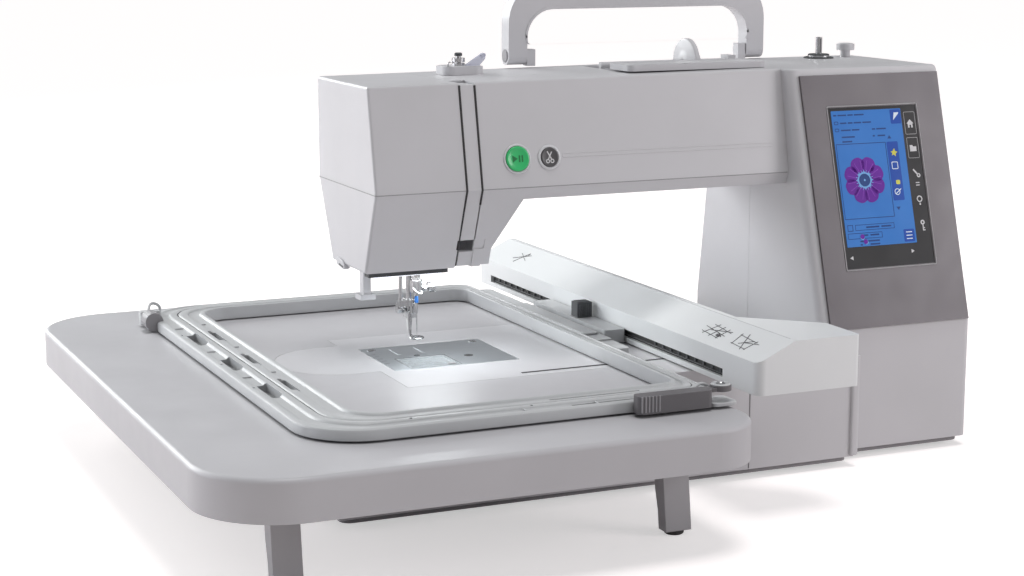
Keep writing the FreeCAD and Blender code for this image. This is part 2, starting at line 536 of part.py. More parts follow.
# ---------------------------------------------------------------- needle and presser
keep("needle_bar", rod("needleBar", "Z", ("needleX", "needleY", 146), "needleBarRadius", 118))
keep("needle_clamp", fuse("needleClamp",
                          rod("clampSleeve", "Z", ("needleX", "needleY", 137), 4.6, 9),
                          rod("clampScrew", "X", ("needleX + 3", "needleY", 140), 1.6, 9),
                          rod("clampHead", "X", ("needleX + 9", "needleY", 140), 3.6, 5)))
keep("needle", fuse("needleSolid",
                    taper("needlePoint", ("needleX", "needleY", "needleTip"), 0.1, 0.5, 4),
                    rod("needleBlade", "Z", ("needleX", "needleY", "needleTip + 4"), 0.5, 14),
                    rod("needleShank", "Z", ("needleX", "needleY", "needleTip + 18"), 1.1, 15)))
keep("needle_threader", fuse("needleThreader",
                             rod("threaderRod", "Z", ("needleX - 15", "needleY - 6", 132), 1.5, 45),
                             block("threaderArm", ("needleX - 17", "needleY - 9", 128), ("needleX - 6.5", "needleY - 3", 133))))
keep("presser_bar", rod("presserBar", "Z", ("needleX", "presserY", 130), "presserRadius", 112))
footHolder = block("footHolder", ("needleX - 6", "presserY - 7", 113), ("needleX + 7", "presserY + 5", 130))
footLeg = fuse("footLeg",
               block("footLegTop", ("needleX - 1.5", "presserY - 7", 106), ("needleX + 3.5", "presserY - 3", 114)),
               block("footLegLow", ("needleX - 1.5", "needleY + 5.2", "footRing"),
                     ("needleX + 2.5", "presserY - 3", "footRing + 6")),
               block("footLegTab", ("needleX - 1.5", "needleY + 3.6", "footRing"),
                     ("needleX + 2.5", "needleY + 6", "footRing + 1.6")))
ring = cut("footRingSolid", rod("ringDisc", "Z", ("needleX", "needleY", "footRing"), 5.2, 1.5),
           rod("ringHole", "Z", ("needleX", "needleY", "footRing - 1"), 3.2, 4))
footScrew = rod("footScrew", "X", ("needleX - 11", "presserY - 1", 122), 3.8, 5)
keep("embroidery_foot", fuse("embroideryFoot", footHolder, footLeg, ring, footScrew))
keep("presser_lever", fuse("presserLever",
                           block("leverPost", (-136, 31, 133), (-130, 39, 178)),
                           block("leverPad", (-139, 29, 130), (-127, 41, 134)),
                           rod("leverAxle", "X", (-138, 35, 174), 3, 10)))
keep("take_up_lever", fuse("takeUpLever",
                           rod("takeUpAxle", "X", ("coverEdge + 3", "needleY - 22", "crease + 15"), 4, 6),
                           block("takeUpArm", ("coverEdge + 4", "needleY - 36", "crease + 13"),
                                 ("coverEdge + 7", "needleY - 20", "crease + 17"))))
keep("lamp_strip", block("lampStrip", (-150, -20, "headBottom - 4"), (-88, -11, "headBottom")))

# ---------------------------------------------------------------- power
keep("power_switch", fuse("powerSwitch",
                          block("switchRocker", ("columnRight - 6", 9, 22), ("columnRight + 2", 31, 38)),
                          rod("switchPin", "Z", ("columnRight - 2", 20, 21), 1.5, 18)))
keep("power_inlet", cut("powerInlet", block("inletBody", ("columnRight - 24", 40.2, 20.2), ("columnRight - 0.2", 63.8, 39.8)),
                        block("inletMouth", ("columnRight - 18", 43, 23), ("columnRight + 2", 61, 37))))

# ---------------------------------------------------------------- carriage, across the bed
railLow, railHigh = "slitLine - 22", "slitLine + 18"
rails = [rod(f"rail{index}", "X", (-66, y, 42), 4, 246) for index, y in enumerate((railLow, railHigh))]
stands = [block(f"railStand{index}", (x, "slitLine - 30", floorLine), (f"{x} + 5", "slitLine + 26", 50))
          for index, x in enumerate((-66, 175))]
keep("x_rails", fuse("xRails", *rails, *stands))
sliderBores = [rod(f"sliderBore{index}", "X", (40, y, 42), "4 + runFit", 60) for index, y in enumerate((railLow, railHigh))]
sliderBlock = block("sliderBlock", (48, "slitLine - 29", 34), (84, "slitLine + 25", 53))
sliderNeck = block("sliderNeck", (64, "slitLine - 1.2", 52), (90, "slitLine + 1.2", "housingBottom"))
keep("x_slider", cut("xSlider", fuse("sliderSolid", sliderBlock, sliderNeck), *sliderBores))

housingOutline = [("housingLeft", "housingBottom"), ("housingRight", "housingBottom"),
                  ("housingRight", "housingTop"), ("housingRidge", "housingTop"), ("housingLeft", "housingShoulder")]
housingMain = prism("housingMain", "XZ", housingOutline, "housingFront", "housingBack")
wing = prism("housingWing", "XY", [("housingRidge", "housingFront"), ("wingRight", "housingFront"),
                                   ("wingRight", "wingBack"), ("housingRight", "wingRoot"),
                                   ("housingRidge", "wingRoot")], "housingBottom", "housingTop")
housingSolid = rounded("housingSolid", fuse("housingFuse", housingMain, wing), [
    (lambda middle, along: upright(middle, along) and middle.x < size("housingLeft + 1"), 7),
    (lambda middle, along: upright(middle, along) and middle.x > size("wingRight - 1"), 3),
])
housingInside = prism("housingInside", "XZ",
                      [("housingLeft + skin", "housingBottom + skin"), ("housingRight - skin", "housingBottom + skin"),
                       ("housingRight - skin", "housingTop - skin"), ("housingRidge", "housingTop - skin"),
                       ("housingLeft + skin", "housingShoulder - 1")], "slotFront - 3", "slotBack + 3")
housingSlot = block("housingSlot", ("housingLeft - 1", "slotFront", "slotLow"), ("housingLeft + 5", "slotBack", "slotHigh"))
keep("carriage_housing", cut("carriageHousing", housingSolid, housingInside, housingSlot))
keep("y_rail", rod("yRail", "Y", (80, "slotFront - 3", 104), 4, "slotBack - slotFront + 6"))

# ---------------------------------------------------------------- hoop carriage and hoops
neck = block("neck", ("bracketRight + 4", "neckFront", "slotLow + 0.8"), (72, "neckBack", "slotHigh - 0.8"))
runner = block("runner", (71, "neckFront + 2", 94.5), (89, "neckBack - 2", 111))
ledge = rounded("ledge", block("ledgeBlock", ("bracketRight + gap", "bracketFront + 14", "hoopLow"),
                               ("housingLeft - 1", "bracketBack - 12", "hoopTop")),
                [(lambda middle, along: upright(middle, along), 2)])
runnerBore = rod("runnerBore", "Y", (80, 0, 104), "4 + runFit", 90)
knobBore = rod("knobBore", "Z", ("knobX", "knobY", 94), 3.05, 10)
keep("carriage_block", cut("carriageBlock", fuse("carriageSolid", neck, runner, ledge), runnerBore, knobBore))
keep("clamp_knob", fuse("clampKnob",
                        soft_block("knobCube", ("knobX - 6.6", "knobY - 6", "hoopTop + 0.3"),
                                   ("knobX + 6.6", "knobY + 6", "hoopTop + 12"), 1),
                        rod("knobStem", "Z", ("knobX", "knobY", 95), 3, 7)))


def hoop_block(name, sides, low, high, leftCorner, rightCorner):
    """A flat block with its own corner radius at the left and at the right; sides are left, front, right, back."""
    solid = block(name + "Block", (sides[0], sides[1], low), (sides[2], sides[3], high))
    return rounded(name, solid, [
        (lambda middle, along: upright(middle, along) and middle.x < size("needleX"), leftCorner),
        (lambda middle, along: upright(middle, along) and middle.x > size("needleX"), rightCorner)])


jointOut = ("jointLeft - 0.2", "jointFront - 0.2", "jointRight + 0.2", "jointBack + 0.2")
outerRing = hoop_block("outerRing", ("hoopLeft", "hoopFront", "hoopRight", "hoopBack"),
                       "hoopLow", "hoopTop", "hoopCorner", "hoopRightCorner")
bracket = block("hoopBracket", ("hoopRight - 2", "bracketFront", "hoopLow + 0.5"), ("bracketRight", "bracketBack", "hoopTop - 1.5"))
pivotLug = rod("pivotLug", "Z", ("hoopRight - 2", "hoopFront - 4", "hoopLow + 0.5"), 8, 9)
leverPin = rod("leverPin", "Z", ("hoopRight - 2", "hoopFront - 4", "hoopLow + 0.5"), 3, 13.5)
screwLug = block("screwLug", ("hoopLeft - 7", 196, "hoopLow + 0.5"), ("hoopLeft + 30", 206, "hoopTop + 3"))
screwLugBore = rod("screwLugBore", "Y", ("hoopLeft - 2", 190, 97), "2.5 + runFit", 20)
jointSpace = hoop_block("jointSpace", jointOut, "hoopLow - 1", "hoopTop + 9", "jointCorner", "jointRightCorner")
screwNotch = block("screwNotch", ("hoopLeft - 1", 171, "hoopLow - 1"), ("hoopLeft + 5.9", 196, "hoopTop + 5"))
keep("outer_hoop", cut("outerHoop", fuse("outerHoopSolid", outerRing, bracket, pivotLug, leverPin, screwLug),
                       screwLugBore, screwNotch, jointSpace))
innerRing = hoop_block("innerRing", ("jointLeft", "jointFront", "jointRight", "jointBack"),
                       "hoopLow - 0.6", "hoopTop - 0.6", "jointCorner", "jointRightCorner")
hoopOpening = hoop_block("hoopOpening", ("openLeft", "openFront", "openRight", "openBack"),
                         "hoopLow - 2", "hoopTop + 1", "openCorner", "openRightCorner")
keep("inner_hoop", cut("innerHoop", innerRing, hoopOpening))
keep("hoop_screw", fuse("hoopScrew",
                        rod("screwStem", "Y", ("hoopLeft - 2", 180, 97), 2.5, 24),
                        rod("screwHead", "Y", ("hoopLeft - 2", 172, 97), 7.2, 16)))
leverBore = rod("leverBore", "Z", ("hoopRight - 2", "hoopFront - 4", "hoopLow"), "3 + runFit", 20)
leverArm = soft_block("leverArm", ("hoopRight - 68", "hoopFront - 13", "hoopLow + 1"), ("hoopRight - 12", "hoopFront - 1", "hoopTop + 2.5"), 4)
leverEye = rod("leverEye", "Z", ("hoopRight - 2", "hoopFront - 4", "hoopTop - 0.2"), 7.5, 3.5)
leverLink = block("leverLink", ("hoopRight - 14", "hoopFront - 9", "hoopTop - 0.2"), ("hoopRight - 2", "hoopFront - 1", "hoopTop + 2.5"))
keep("hoop_lever", cut("hoopLever", fuse("hoopLeverSolid", leverArm, leverEye, leverLink), leverBore))

# ---------------------------------------------------------------- extension table and legs
tableBlock = block("tableBlock", ("tableLeft", "tableFront", "deckTop - tableDepth"), ("tableRight", "tableBack", "deckTop"))
tableRound = rounded("tableRound", tableBlock, [
    (lambda middle, along: upright(middle, along) and middle.x < 0, "tableCorner"),
    (lambda middle, along: upright(middle, along) and middle.x > 0, "tableInnerCorner")])
doc.recompute()
topRim = doc.addObject("Part::Fillet", "tableRolled")
topRim.Base = tableRound
topRim.Edges = [(index, size("tableRoll"), size("tableRoll"))
                for index, edge in enumerate(tableRound.Shape.Edges, start=1)
                if edge.BoundBox.ZMin > size("deckTop") - 0.01]
underside = rounded("underside", block("undersideBlock", ("tableLeft + 3", "tableFront + 3", "deckTop - tableDepth - 1"),
                                       ("tableRight - 3", "tableBack - 3", "deckTop - 3")), [
    (lambda middle, along: upright(middle, along) and middle.x < 0, "tableCorner - 3"),
    (lambda middle, along: upright(middle, along) and middle.x > 0, "tableInnerCorner - 3")])
shellTop = cut("tableShell", topRim, underside)
rimWide = block("rimWide", ("deckLeft - 3.4", "deckFront - 3.4", "deckTop - tableDepth"), ("tableRight", "bedBack + 3.4", "deckTop - 2"))
rimNose = soft_block("rimNose", ("noseLeft - 3.4", "noseFront - 3.4", "deckTop - tableDepth"), ("deckLeft + 30", "noseBack + 3.4", "deckTop - 2"), 20)
deckSpace = block("deckSpace", ("deckLeft - 0.4", "deckFront - 0.4", 50), ("tableRight + 10", "bedBack + 0.4", "deckTop + 5"))
noseSpace = rounded("noseSpace", block("noseSpaceBlock", ("noseLeft - 0.4", "noseFront - 0.4", 50),
                                       ("deckLeft + 1", "noseBack + 0.4", "deckTop + 5")),
                    [(lambda middle, along: upright(middle, along) and middle.x < size("deckLeft"), 44.4)])
legs = {"front_right": ("legRight", -1), "front_left": ("legLeft", -1),
        "rear_right": ("legRight", 1), "rear_left": ("legLeft", 1)}
cheeks = []
for name, (x, side) in legs.items():
    for offset in (-1, 1):
        inner = f"{x} + {offset} * (legWidth / 2 + gap)"
        outer = f"{x} + {offset} * (legWidth / 2 + 4)"
        low, high = (outer, inner) if offset < 0 else (inner, outer)
        label = f"cheek_{name}_{'a' if offset < 0 else 'b'}"
        cheeks.append(block(label, (low, f"{side} * legPivotY - 10", "deckTop - tableDepth + 1"),
                            (high, f"{side} * legPivotY + 10", "deckTop - 2")))
pivotPins = [rod(f"pivotPin_{name}", "X", (f"{x} - legWidth / 2 - 3", f"{side} * legPivotY", "legPivotZ"), 2.5, "legWidth + 6")
             for name, (x, side) in legs.items()]
tableSolid = cut("tableSolid", fuse("tableRaw", shellTop, rimWide, rimNose), deckSpace, noseSpace)
keep("extension_table", fuse("extensionTable", tableSolid, *cheeks, *pivotPins))
for name, (x, side) in legs.items():
    outline = [(f"{side} * (legPivotY - 7)", "legPivotZ + 6"), (f"{side} * (legPivotY + 7)", "legPivotZ + 6"),
               (f"{side} * (legFootY + 6)", "6"), (f"{side} * (legFootY - 8)", "6")]
    legSolid = prism(f"legStrut_{name}", "YZ", outline, f"{x} - legWidth / 2", f"{x} + legWidth / 2")
    pad = rod(f"legPad_{name}", "Z", (x, f"{side} * legFootY - {side}", 0), 8, 7)
    bore = rod(f"legBore_{name}", "X", (f"{x} - legWidth", f"{side} * legPivotY", "legPivotZ"), "2.5 + runFit", "2 * legWidth")
    keep(f"table_leg_{name}", cut(f"tableLeg_{name}", fuse(f"legSolid_{name}", legSolid, pad), bore))

# ---------------------------------------------------------------- check and write
doc.recompute()
problems = []
for item in doc.Objects:
    if "Invalid" in item.State or "Error" in item.State:
        problems.append(f"{item.Name}: {item.State}")
for node, item in nodes.items():
    shape = item.Shape
    if shape.isNull() or not shape.isValid() or not shape.Solids:
        problems.append(f"{node}: no valid solid")
if problems:
    raise SystemExit("\n".join(problems))

os.makedirs("parts", exist_ok=True)
for node, item in nodes.items():
    item.Shape.exportStep(f"parts/{node}.step")
    print(f"{node}: {item.Shape.Volume / 1000:.1f} cm3, {len(item.Shape.Solids)} solid(s)")
whole = Part.makeCompound([item.Shape for item in nodes.values()]).optimalBoundingBox(False)
print(f"{len(nodes)} nodes, x {whole.XMin:.2f}..{whole.XMax:.2f}, y {whole.YMin:.2f}..{whole.YMax:.2f}, "
      f"z {whole.ZMin:.2f}..{whole.ZMax:.2f}")
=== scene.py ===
import bpy
import bmesh
import math
from mathutils import Matrix, Vector


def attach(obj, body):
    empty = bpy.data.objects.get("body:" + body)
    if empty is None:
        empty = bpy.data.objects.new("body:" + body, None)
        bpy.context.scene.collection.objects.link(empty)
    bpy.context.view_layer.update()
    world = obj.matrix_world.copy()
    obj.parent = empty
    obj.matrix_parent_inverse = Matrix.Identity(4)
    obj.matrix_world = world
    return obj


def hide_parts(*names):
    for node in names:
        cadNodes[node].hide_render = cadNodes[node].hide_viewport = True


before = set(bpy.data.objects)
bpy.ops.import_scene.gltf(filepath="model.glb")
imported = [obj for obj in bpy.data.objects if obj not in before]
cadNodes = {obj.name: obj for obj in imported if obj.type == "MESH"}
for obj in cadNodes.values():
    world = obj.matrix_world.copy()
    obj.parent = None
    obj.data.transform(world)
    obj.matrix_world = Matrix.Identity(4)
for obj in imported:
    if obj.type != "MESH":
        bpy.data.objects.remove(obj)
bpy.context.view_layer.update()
scene = bpy.context.scene
mm = 0.001

# camera: metres and degrees, looking across the table from its front left
camera = {"place": (-0.6395, -1.376, 0.415), "turn": 23.99, "dip": 10.49, "lens": 70.65}


def makeCamera():
    data = bpy.data.cameras.new("camera")
    data.lens = camera["lens"]
    data.sensor_width = 36
    data.clip_start = 0.05
    data.clip_end = 60
    eye = bpy.data.objects.new("camera", data)
    eye.location = camera["place"]
    eye.rotation_euler = (math.radians(90 - camera["dip"]), 0, math.radians(-camera["turn"]))
    scene.collection.objects.link(eye)
    scene.camera = eye


studio = {
    "ambient": 0.25,
    "ambientColor": (0.97, 0.975, 1.0, 1),
    "backdrop": 1.0,
    "floorColor": (0.80, 0.745, 0.735, 1),
    "floorLift": 0.50,
    "sunPower": 1.30,
    "sunTurn": (4, 3),     # degrees about X and Y from straight down
    "sunSpread": 24,
    # place, aim, width, height, watts, colour
    "boxes": {
        "leftBox": ((-2.2, 0.95, 0.50), (0, 0, 0.12), 1.6, 1.0, 14, (0.90, 0.92, 1.0)),
        "backBox": ((-1.1, 2.0, 1.0), (0.15, 0.1, 0.1), 1.8, 1.2, 44, (0.97, 1.0, 0.995)),
        "rightBox": ((1.5, -1.3, 0.7), (0.25, 0, 0.2), 0.8, 0.8, 11, (1.0, 0.97, 1.0)),
        "needleLamp": ((-0.09, 0.0, 0.150), (-0.09, -0.02, 0.0), 0.05, 0.02, 0.07, (0.93, 0.99, 1.0)),
    },
}


def makeStudio():
    world = bpy.data.worlds.new("studio")
    scene.world = world
    world.use_nodes = True
    nodes, links = world.node_tree.nodes, world.node_tree.links
    nodes.clear()
    out = nodes.new("ShaderNodeOutputWorld")
    mix = nodes.new("ShaderNodeMixShader")
    path = nodes.new("ShaderNodeLightPath")
    soft = nodes.new("ShaderNodeBackground")
    seen = nodes.new("ShaderNodeBackground")
    soft.inputs["Color"].default_value = studio["ambientColor"]
    soft.inputs["Strength"].default_value = studio["ambient"]
    seen.inputs["Strength"].default_value = studio["backdrop"]
    seen.inputs["Color"].default_value = (1, 1, 1, 1)
    links.new(path.outputs["Is Camera Ray"], mix.inputs["Fac"])
    links.new(soft.outputs[0], mix.inputs[1])
    links.new(seen.outputs[0], mix.inputs[2])
    links.new(mix.outputs[0], out.inputs[0])
    sun = bpy.data.lights.new("softSun", "SUN")
    sun.energy = studio["sunPower"]
    sun.angle = math.radians(studio["sunSpread"])
    lamp = bpy.data.objects.new("softSun", sun)
    lamp.rotation_euler = [math.radians(angle) for angle in studio["sunTurn"]] + [0]
    scene.collection.objects.link(lamp)
    for name, (place, aim, width, height, watts, tint) in studio["boxes"].items():
        data = bpy.data.lights.new(name, "AREA")
        data.shape = "RECTANGLE"
        data.size = width
        data.size_y = height
        data.energy = watts
        data.color = tint
        lamp = bpy.data.objects.new(name, data)
        lamp.location = place
        lamp.rotation_euler = (Vector(aim) - Vector(place)).to_track_quat("-Z", "Y").to_euler()
        scene.collection.objects.link(lamp)
    bm = bmesh.new()
    bmesh.ops.create_grid(bm, x_segments=1, y_segments=1, size=25)
    mesh = bpy.data.meshes.new("floor")
    bm.to_mesh(mesh)
    bm.free()
    floor = bpy.data.objects.new("floor", mesh)
    scene.collection.objects.link(floor)
    material = bpy.data.materials.new("paleFloor")
    material.use_nodes = True
    nodes, links = material.node_tree.nodes, material.node_tree.links
    nodes.clear()
    out = nodes.new("ShaderNodeOutputMaterial")
    add = nodes.new("ShaderNodeAddShader")
    flat = nodes.new("ShaderNodeBsdfDiffuse")
    lift = nodes.new("ShaderNodeEmission")
    path = nodes.new("ShaderNodeLightPath")
    scale = nodes.new("ShaderNodeMath")
    scale.operation = "MULTIPLY"
    scale.inputs[1].default_value = studio["floorLift"]
    flat.inputs["Color"].default_value = studio["floorColor"]
    links.new(path.outputs["Is Camera Ray"], scale.inputs[0])
    links.new(scale.outputs[0], lift.inputs["Strength"])
    links.new(flat.outputs[0], add.inputs[0])
    links.new(lift.outputs[0], add.inputs[1])
    links.new(add.outputs[0], out.inputs[0])
    floor.data.materials.append(material)
    scene.view_settings.view_transform = "Standard"


makeCamera()
makeStudio()
print("camera and studio ready")


# shader groups
def newGroup(name, inputs, outputs):
    tree = bpy.data.node_groups.new(name, "ShaderNodeTree")
    for title, kind, value in inputs:
        socket = tree.interface.new_socket(name=title, in_out="INPUT", socket_type=kind)
        if value is not None:
            socket.default_value = value
    for title, kind in outputs:
        tree.interface.new_socket(name=title, in_out="OUTPUT", socket_type=kind)
    return tree, tree.nodes.new("NodeGroupInput"), tree.nodes.new("NodeGroupOutput")


def noise(tree, vector, scale, detail=3.0):
    node = tree.nodes.new("ShaderNodeTexNoise")
    node.inputs["Detail"].default_value = detail
    tree.links.new(vector, node.inputs["Vector"])
    if isinstance(scale, (int, float)):
        node.inputs["Scale"].default_value = scale
    else:
        tree.links.new(scale, node.inputs["Scale"])
    return node.outputs["Fac"]


def ramp(tree, value, low, high, toLow=0.0, toHigh=1.0):
    node = tree.nodes.new("ShaderNodeMapRange")
    tree.links.new(value, node.inputs["Value"])
    for title, given in (("From Min", low), ("From Max", high), ("To Min", toLow), ("To Max", toHigh)):
        if isinstance(given, (int, float)):
            node.inputs[title].default_value = given
        else:
            tree.links.new(given, node.inputs[title])
    return node.outputs["Result"]


def mixColor(tree, factor, first, second, how="MIX"):
    node = tree.nodes.new("ShaderNodeMix")
    node.data_type = "RGBA"
    node.blend_type = how
    for socket, given in ((node.inputs[0], factor), (node.inputs[6], first), (node.inputs[7], second)):
        if isinstance(given, (int, float, tuple)):
            socket.default_value = given
        else:
            tree.links.new(given, socket)
    return node.outputs[2]


def calc(tree, how, first, second=0.5):
    node = tree.nodes.new("ShaderNodeMath")
    node.operation = how
    for socket, given in zip(node.inputs, (first, second)):
        if isinstance(given, (int, float)):
            socket.default_value = given
        else:
            tree.links.new(given, socket)
    return node.outputs[0]


# fine grain, cloudy tone and faint handling marks of a moulded skin
def makeMouldedSkin():
    tree, inside, outside = newGroup("mouldedSkin", [
        ("Vector", "NodeSocketVector", None),
        ("Base", "NodeSocketColor", (0.6, 0.6, 0.6, 1)),
        ("Tone", "NodeSocketColor", (0.55, 0.55, 0.56, 1)),
        ("Grain Scale", "NodeSocketFloat", 2200.0),
        ("Tone Scale", "NodeSocketFloat", 9.0),
        ("Rough Low", "NodeSocketFloat", 0.4),
        ("Rough High", "NodeSocketFloat", 0.5),
    ], [("Color", "NodeSocketColor"), ("Roughness", "NodeSocketFloat"), ("Height", "NodeSocketFloat")])
    vector = inside.outputs["Vector"]
    cloud = noise(tree, vector, inside.outputs["Tone Scale"], 4)
    grain = noise(tree, vector, inside.outputs["Grain Scale"], 2)
    smear = noise(tree, vector, 38, 5)
    cloudMask = ramp(tree, cloud, 0.35, 0.68)
    tinted = mixColor(tree, cloudMask, inside.outputs["Base"], inside.outputs["Tone"])
    speck = mixColor(tree, ramp(tree, grain, 0.3, 0.7, 0.0, 0.12), tinted, inside.outputs["Tone"])
    rough = ramp(tree, smear, 0.3, 0.7, inside.outputs["Rough Low"], inside.outputs["Rough High"])
    tree.links.new(speck, outside.inputs["Color"])
    tree.links.new(rough, outside.inputs["Roughness"])
    tree.links.new(grain, outside.inputs["Height"])
    return tree


# rubbed, slightly paler edges, broken up by noise
def makeEdgeRub():
    tree, inside, outside = newGroup("edgeRub", [
        ("Vector", "NodeSocketVector", None),
        ("Color", "NodeSocketColor", (0.6, 0.6, 0.6, 1)),
        ("Rubbed", "NodeSocketColor", (0.8, 0.8, 0.8, 1)),
        ("Width", "NodeSocketFloat", 0.001),
        ("Amount", "NodeSocketFloat", 0.6),
    ], [("Color", "NodeSocketColor"), ("Mask", "NodeSocketFloat")])
    bevel = tree.nodes.new("ShaderNodeBevel")
    bevel.samples = 4
    plain = tree.nodes.new("ShaderNodeNewGeometry")
    dot = tree.nodes.new("ShaderNodeVectorMath")
    dot.operation = "DOT_PRODUCT"
    tree.links.new(inside.outputs["Width"], bevel.inputs["Radius"])
    tree.links.new(bevel.outputs["Normal"], dot.inputs[0])
    tree.links.new(plain.outputs["Normal"], dot.inputs[1])
    edge = ramp(tree, dot.outputs["Value"], 0.995, 0.90)
    broken = ramp(tree, noise(tree, inside.outputs["Vector"], 160, 4), 0.35, 0.6, 0.25, 1.0)
    mask = calc(tree, "MULTIPLY", calc(tree, "MULTIPLY", edge, broken), inside.outputs["Amount"])
    color = mixColor(tree, mask, inside.outputs["Color"], inside.outputs["Rubbed"])
    tree.links.new(color, outside.inputs["Color"])
    tree.links.new(mask, outside.inputs["Mask"])
    return tree


# painted shade: corners darkened through ambient occlusion, mixed with a little patchy dust
def makeCornerDustAndShade():
    tree, inside, outside = newGroup("cornerDustAndShade", [
        ("Vector", "NodeSocketVector", None),
        ("Color", "NodeSocketColor", (0.6, 0.6, 0.6, 1)),
        ("Dust And Shade", "NodeSocketColor", (0.4, 0.39, 0.38, 1)),
        ("Reach", "NodeSocketFloat", 0.006),
        ("Amount", "NodeSocketFloat", 0.35),
    ], [("Color", "NodeSocketColor"), ("Mask", "NodeSocketFloat")])
    shade = tree.nodes.new("ShaderNodeAmbientOcclusion")
    shade.samples = 4
    tree.links.new(inside.outputs["Reach"], shade.inputs["Distance"])
    hidden = ramp(tree, shade.outputs["AO"], 0.85, 0.35)
    patchy = ramp(tree, noise(tree, inside.outputs["Vector"], 90, 4), 0.3, 0.65, 0.5, 1.0)
    mask = calc(tree, "MULTIPLY", calc(tree, "MULTIPLY", hidden, patchy), inside.outputs["Amount"])
    color = mixColor(tree, mask, inside.outputs["Color"], inside.outputs["Dust And Shade"])
    tree.links.new(color, outside.inputs["Color"])
    tree.links.new(mask, outside.inputs["Mask"])
    return tree


# straight brushing lines along one axis, stretched by the Stretch vector
def makeBrushLines():
    tree, inside, outside = newGroup("brushLines", [
        ("Vector", "NodeSocketVector", None),
        ("Base", "NodeSocketColor", (0.6, 0.6, 0.6, 1)),
        ("Tone", "NodeSocketColor", (0.5, 0.5, 0.5, 1)),
        ("Stretch", "NodeSocketVector", (40.0, 2600.0, 2600.0)),
        ("Rough Low", "NodeSocketFloat", 0.2),
        ("Rough High", "NodeSocketFloat", 0.4),
    ], [("Color", "NodeSocketColor"), ("Roughness", "NodeSocketFloat"), ("Height", "NodeSocketFloat")])
    stretched = tree.nodes.new("ShaderNodeVectorMath")
    stretched.operation = "MULTIPLY"
    tree.links.new(inside.outputs["Vector"], stretched.inputs[0])
    tree.links.new(inside.outputs["Stretch"], stretched.inputs[1])
    lines = noise(tree, stretched.outputs[0], 1.0, 4)
    cloud = noise(tree, inside.outputs["Vector"], 60, 3)
    tinted = mixColor(tree, ramp(tree, lines, 0.3, 0.7), inside.outputs["Base"], inside.outputs["Tone"])
    clouded = mixColor(tree, ramp(tree, cloud, 0.35, 0.7, 0.0, 0.35), tinted, inside.outputs["Tone"])
    rough = ramp(tree, lines, 0.25, 0.75, inside.outputs["Rough Low"], inside.outputs["Rough High"])
    tree.links.new(clouded, outside.inputs["Color"])
    tree.links.new(rough, outside.inputs["Roughness"])
    tree.links.new(lines, outside.inputs["Height"])
    return tree


mouldedSkin = makeMouldedSkin()
edgeRub = makeEdgeRub()
cornerDustAndShade = makeCornerDustAndShade()
brushLines = makeBrushLines()


# materials
def newMaterial(name):
    material = bpy.data.materials.new(name)
    material.use_nodes = True
    tree = material.node_tree
    tree.nodes.clear()
    out = tree.nodes.new("ShaderNodeOutputMaterial")
    shader = tree.nodes.new("ShaderNodeBsdfPrincipled")
    coord = tree.nodes.new("ShaderNodeTexCoord")
    tree.links.new(shader.outputs[0], out.inputs["Surface"])
    return material, tree, shader, coord.outputs["Object"]


def place(tree, group, values, links):
    node = tree.nodes.new("ShaderNodeGroup")
    node.node_tree = group
    for title, value in values.items():
        node.inputs[title].default_value = value
    for title, source in links.items():
        tree.links.new(source, node.inputs[title])
    return node


def rgba(color):
    return tuple(color) + (1,)


def bumped(tree, shader, height, depth, strength):
    bump = tree.nodes.new("ShaderNodeBump")
    bump.inputs["Strength"].default_value = strength
    bump.inputs["Distance"].default_value = depth
    tree.links.new(height, bump.inputs["Height"])
    tree.links.new(bump.outputs["Normal"], shader.inputs["Normal"])


# base, tone and roughness limits that every finish starts from
def tones(look, **more):
    low, high = look.get("rough", (0.40, 0.50))
    return {"Base": rgba(look["base"]), "Tone": rgba(look["tone"]), "Rough Low": low, "Rough High": high,
            **more}


def plastic(name, look):
    material, tree, shader, vector = newMaterial(name)
    skin = place(tree, mouldedSkin, tones(look, **{
        "Grain Scale": look.get("grain", 2200.0),
        "Tone Scale": look.get("cloud", 9.0),
    }), {"Vector": vector})
    rub = place(tree, edgeRub, {
        "Rubbed": rgba(look["rubbed"]),
        "Width": look.get("edge", 0.8) * mm,
        "Amount": look.get("rub", 0.5),
    }, {"Vector": vector, "Color": skin.outputs["Color"]})
    # corner darkening: painted shade from ambient occlusion, with a little dust
    dust = place(tree, cornerDustAndShade, {
        "Dust And Shade": rgba(look["dust"]),
        "Amount": look.get("dustAndShadeAmount", 0.35),
    }, {"Vector": vector, "Color": rub.outputs["Color"]})
    tree.links.new(dust.outputs["Color"], shader.inputs["Base Color"])
    tree.links.new(skin.outputs["Roughness"], shader.inputs["Roughness"])
    bumped(tree, shader, skin.outputs["Height"], look.get("depth", 0.03) * mm, look.get("bump", 0.35))
    shader.inputs["Coat Weight"].default_value = look.get("coat", 0.0)
    shader.inputs["Coat Roughness"].default_value = look.get("coatRough", 0.1)
    shader.inputs["IOR"].default_value = look.get("ior", 1.46)
    shader.inputs["Subsurface Weight"].default_value = look.get("milk", 0.0)
    shader.inputs["Subsurface Scale"].default_value = 0.002
    return material


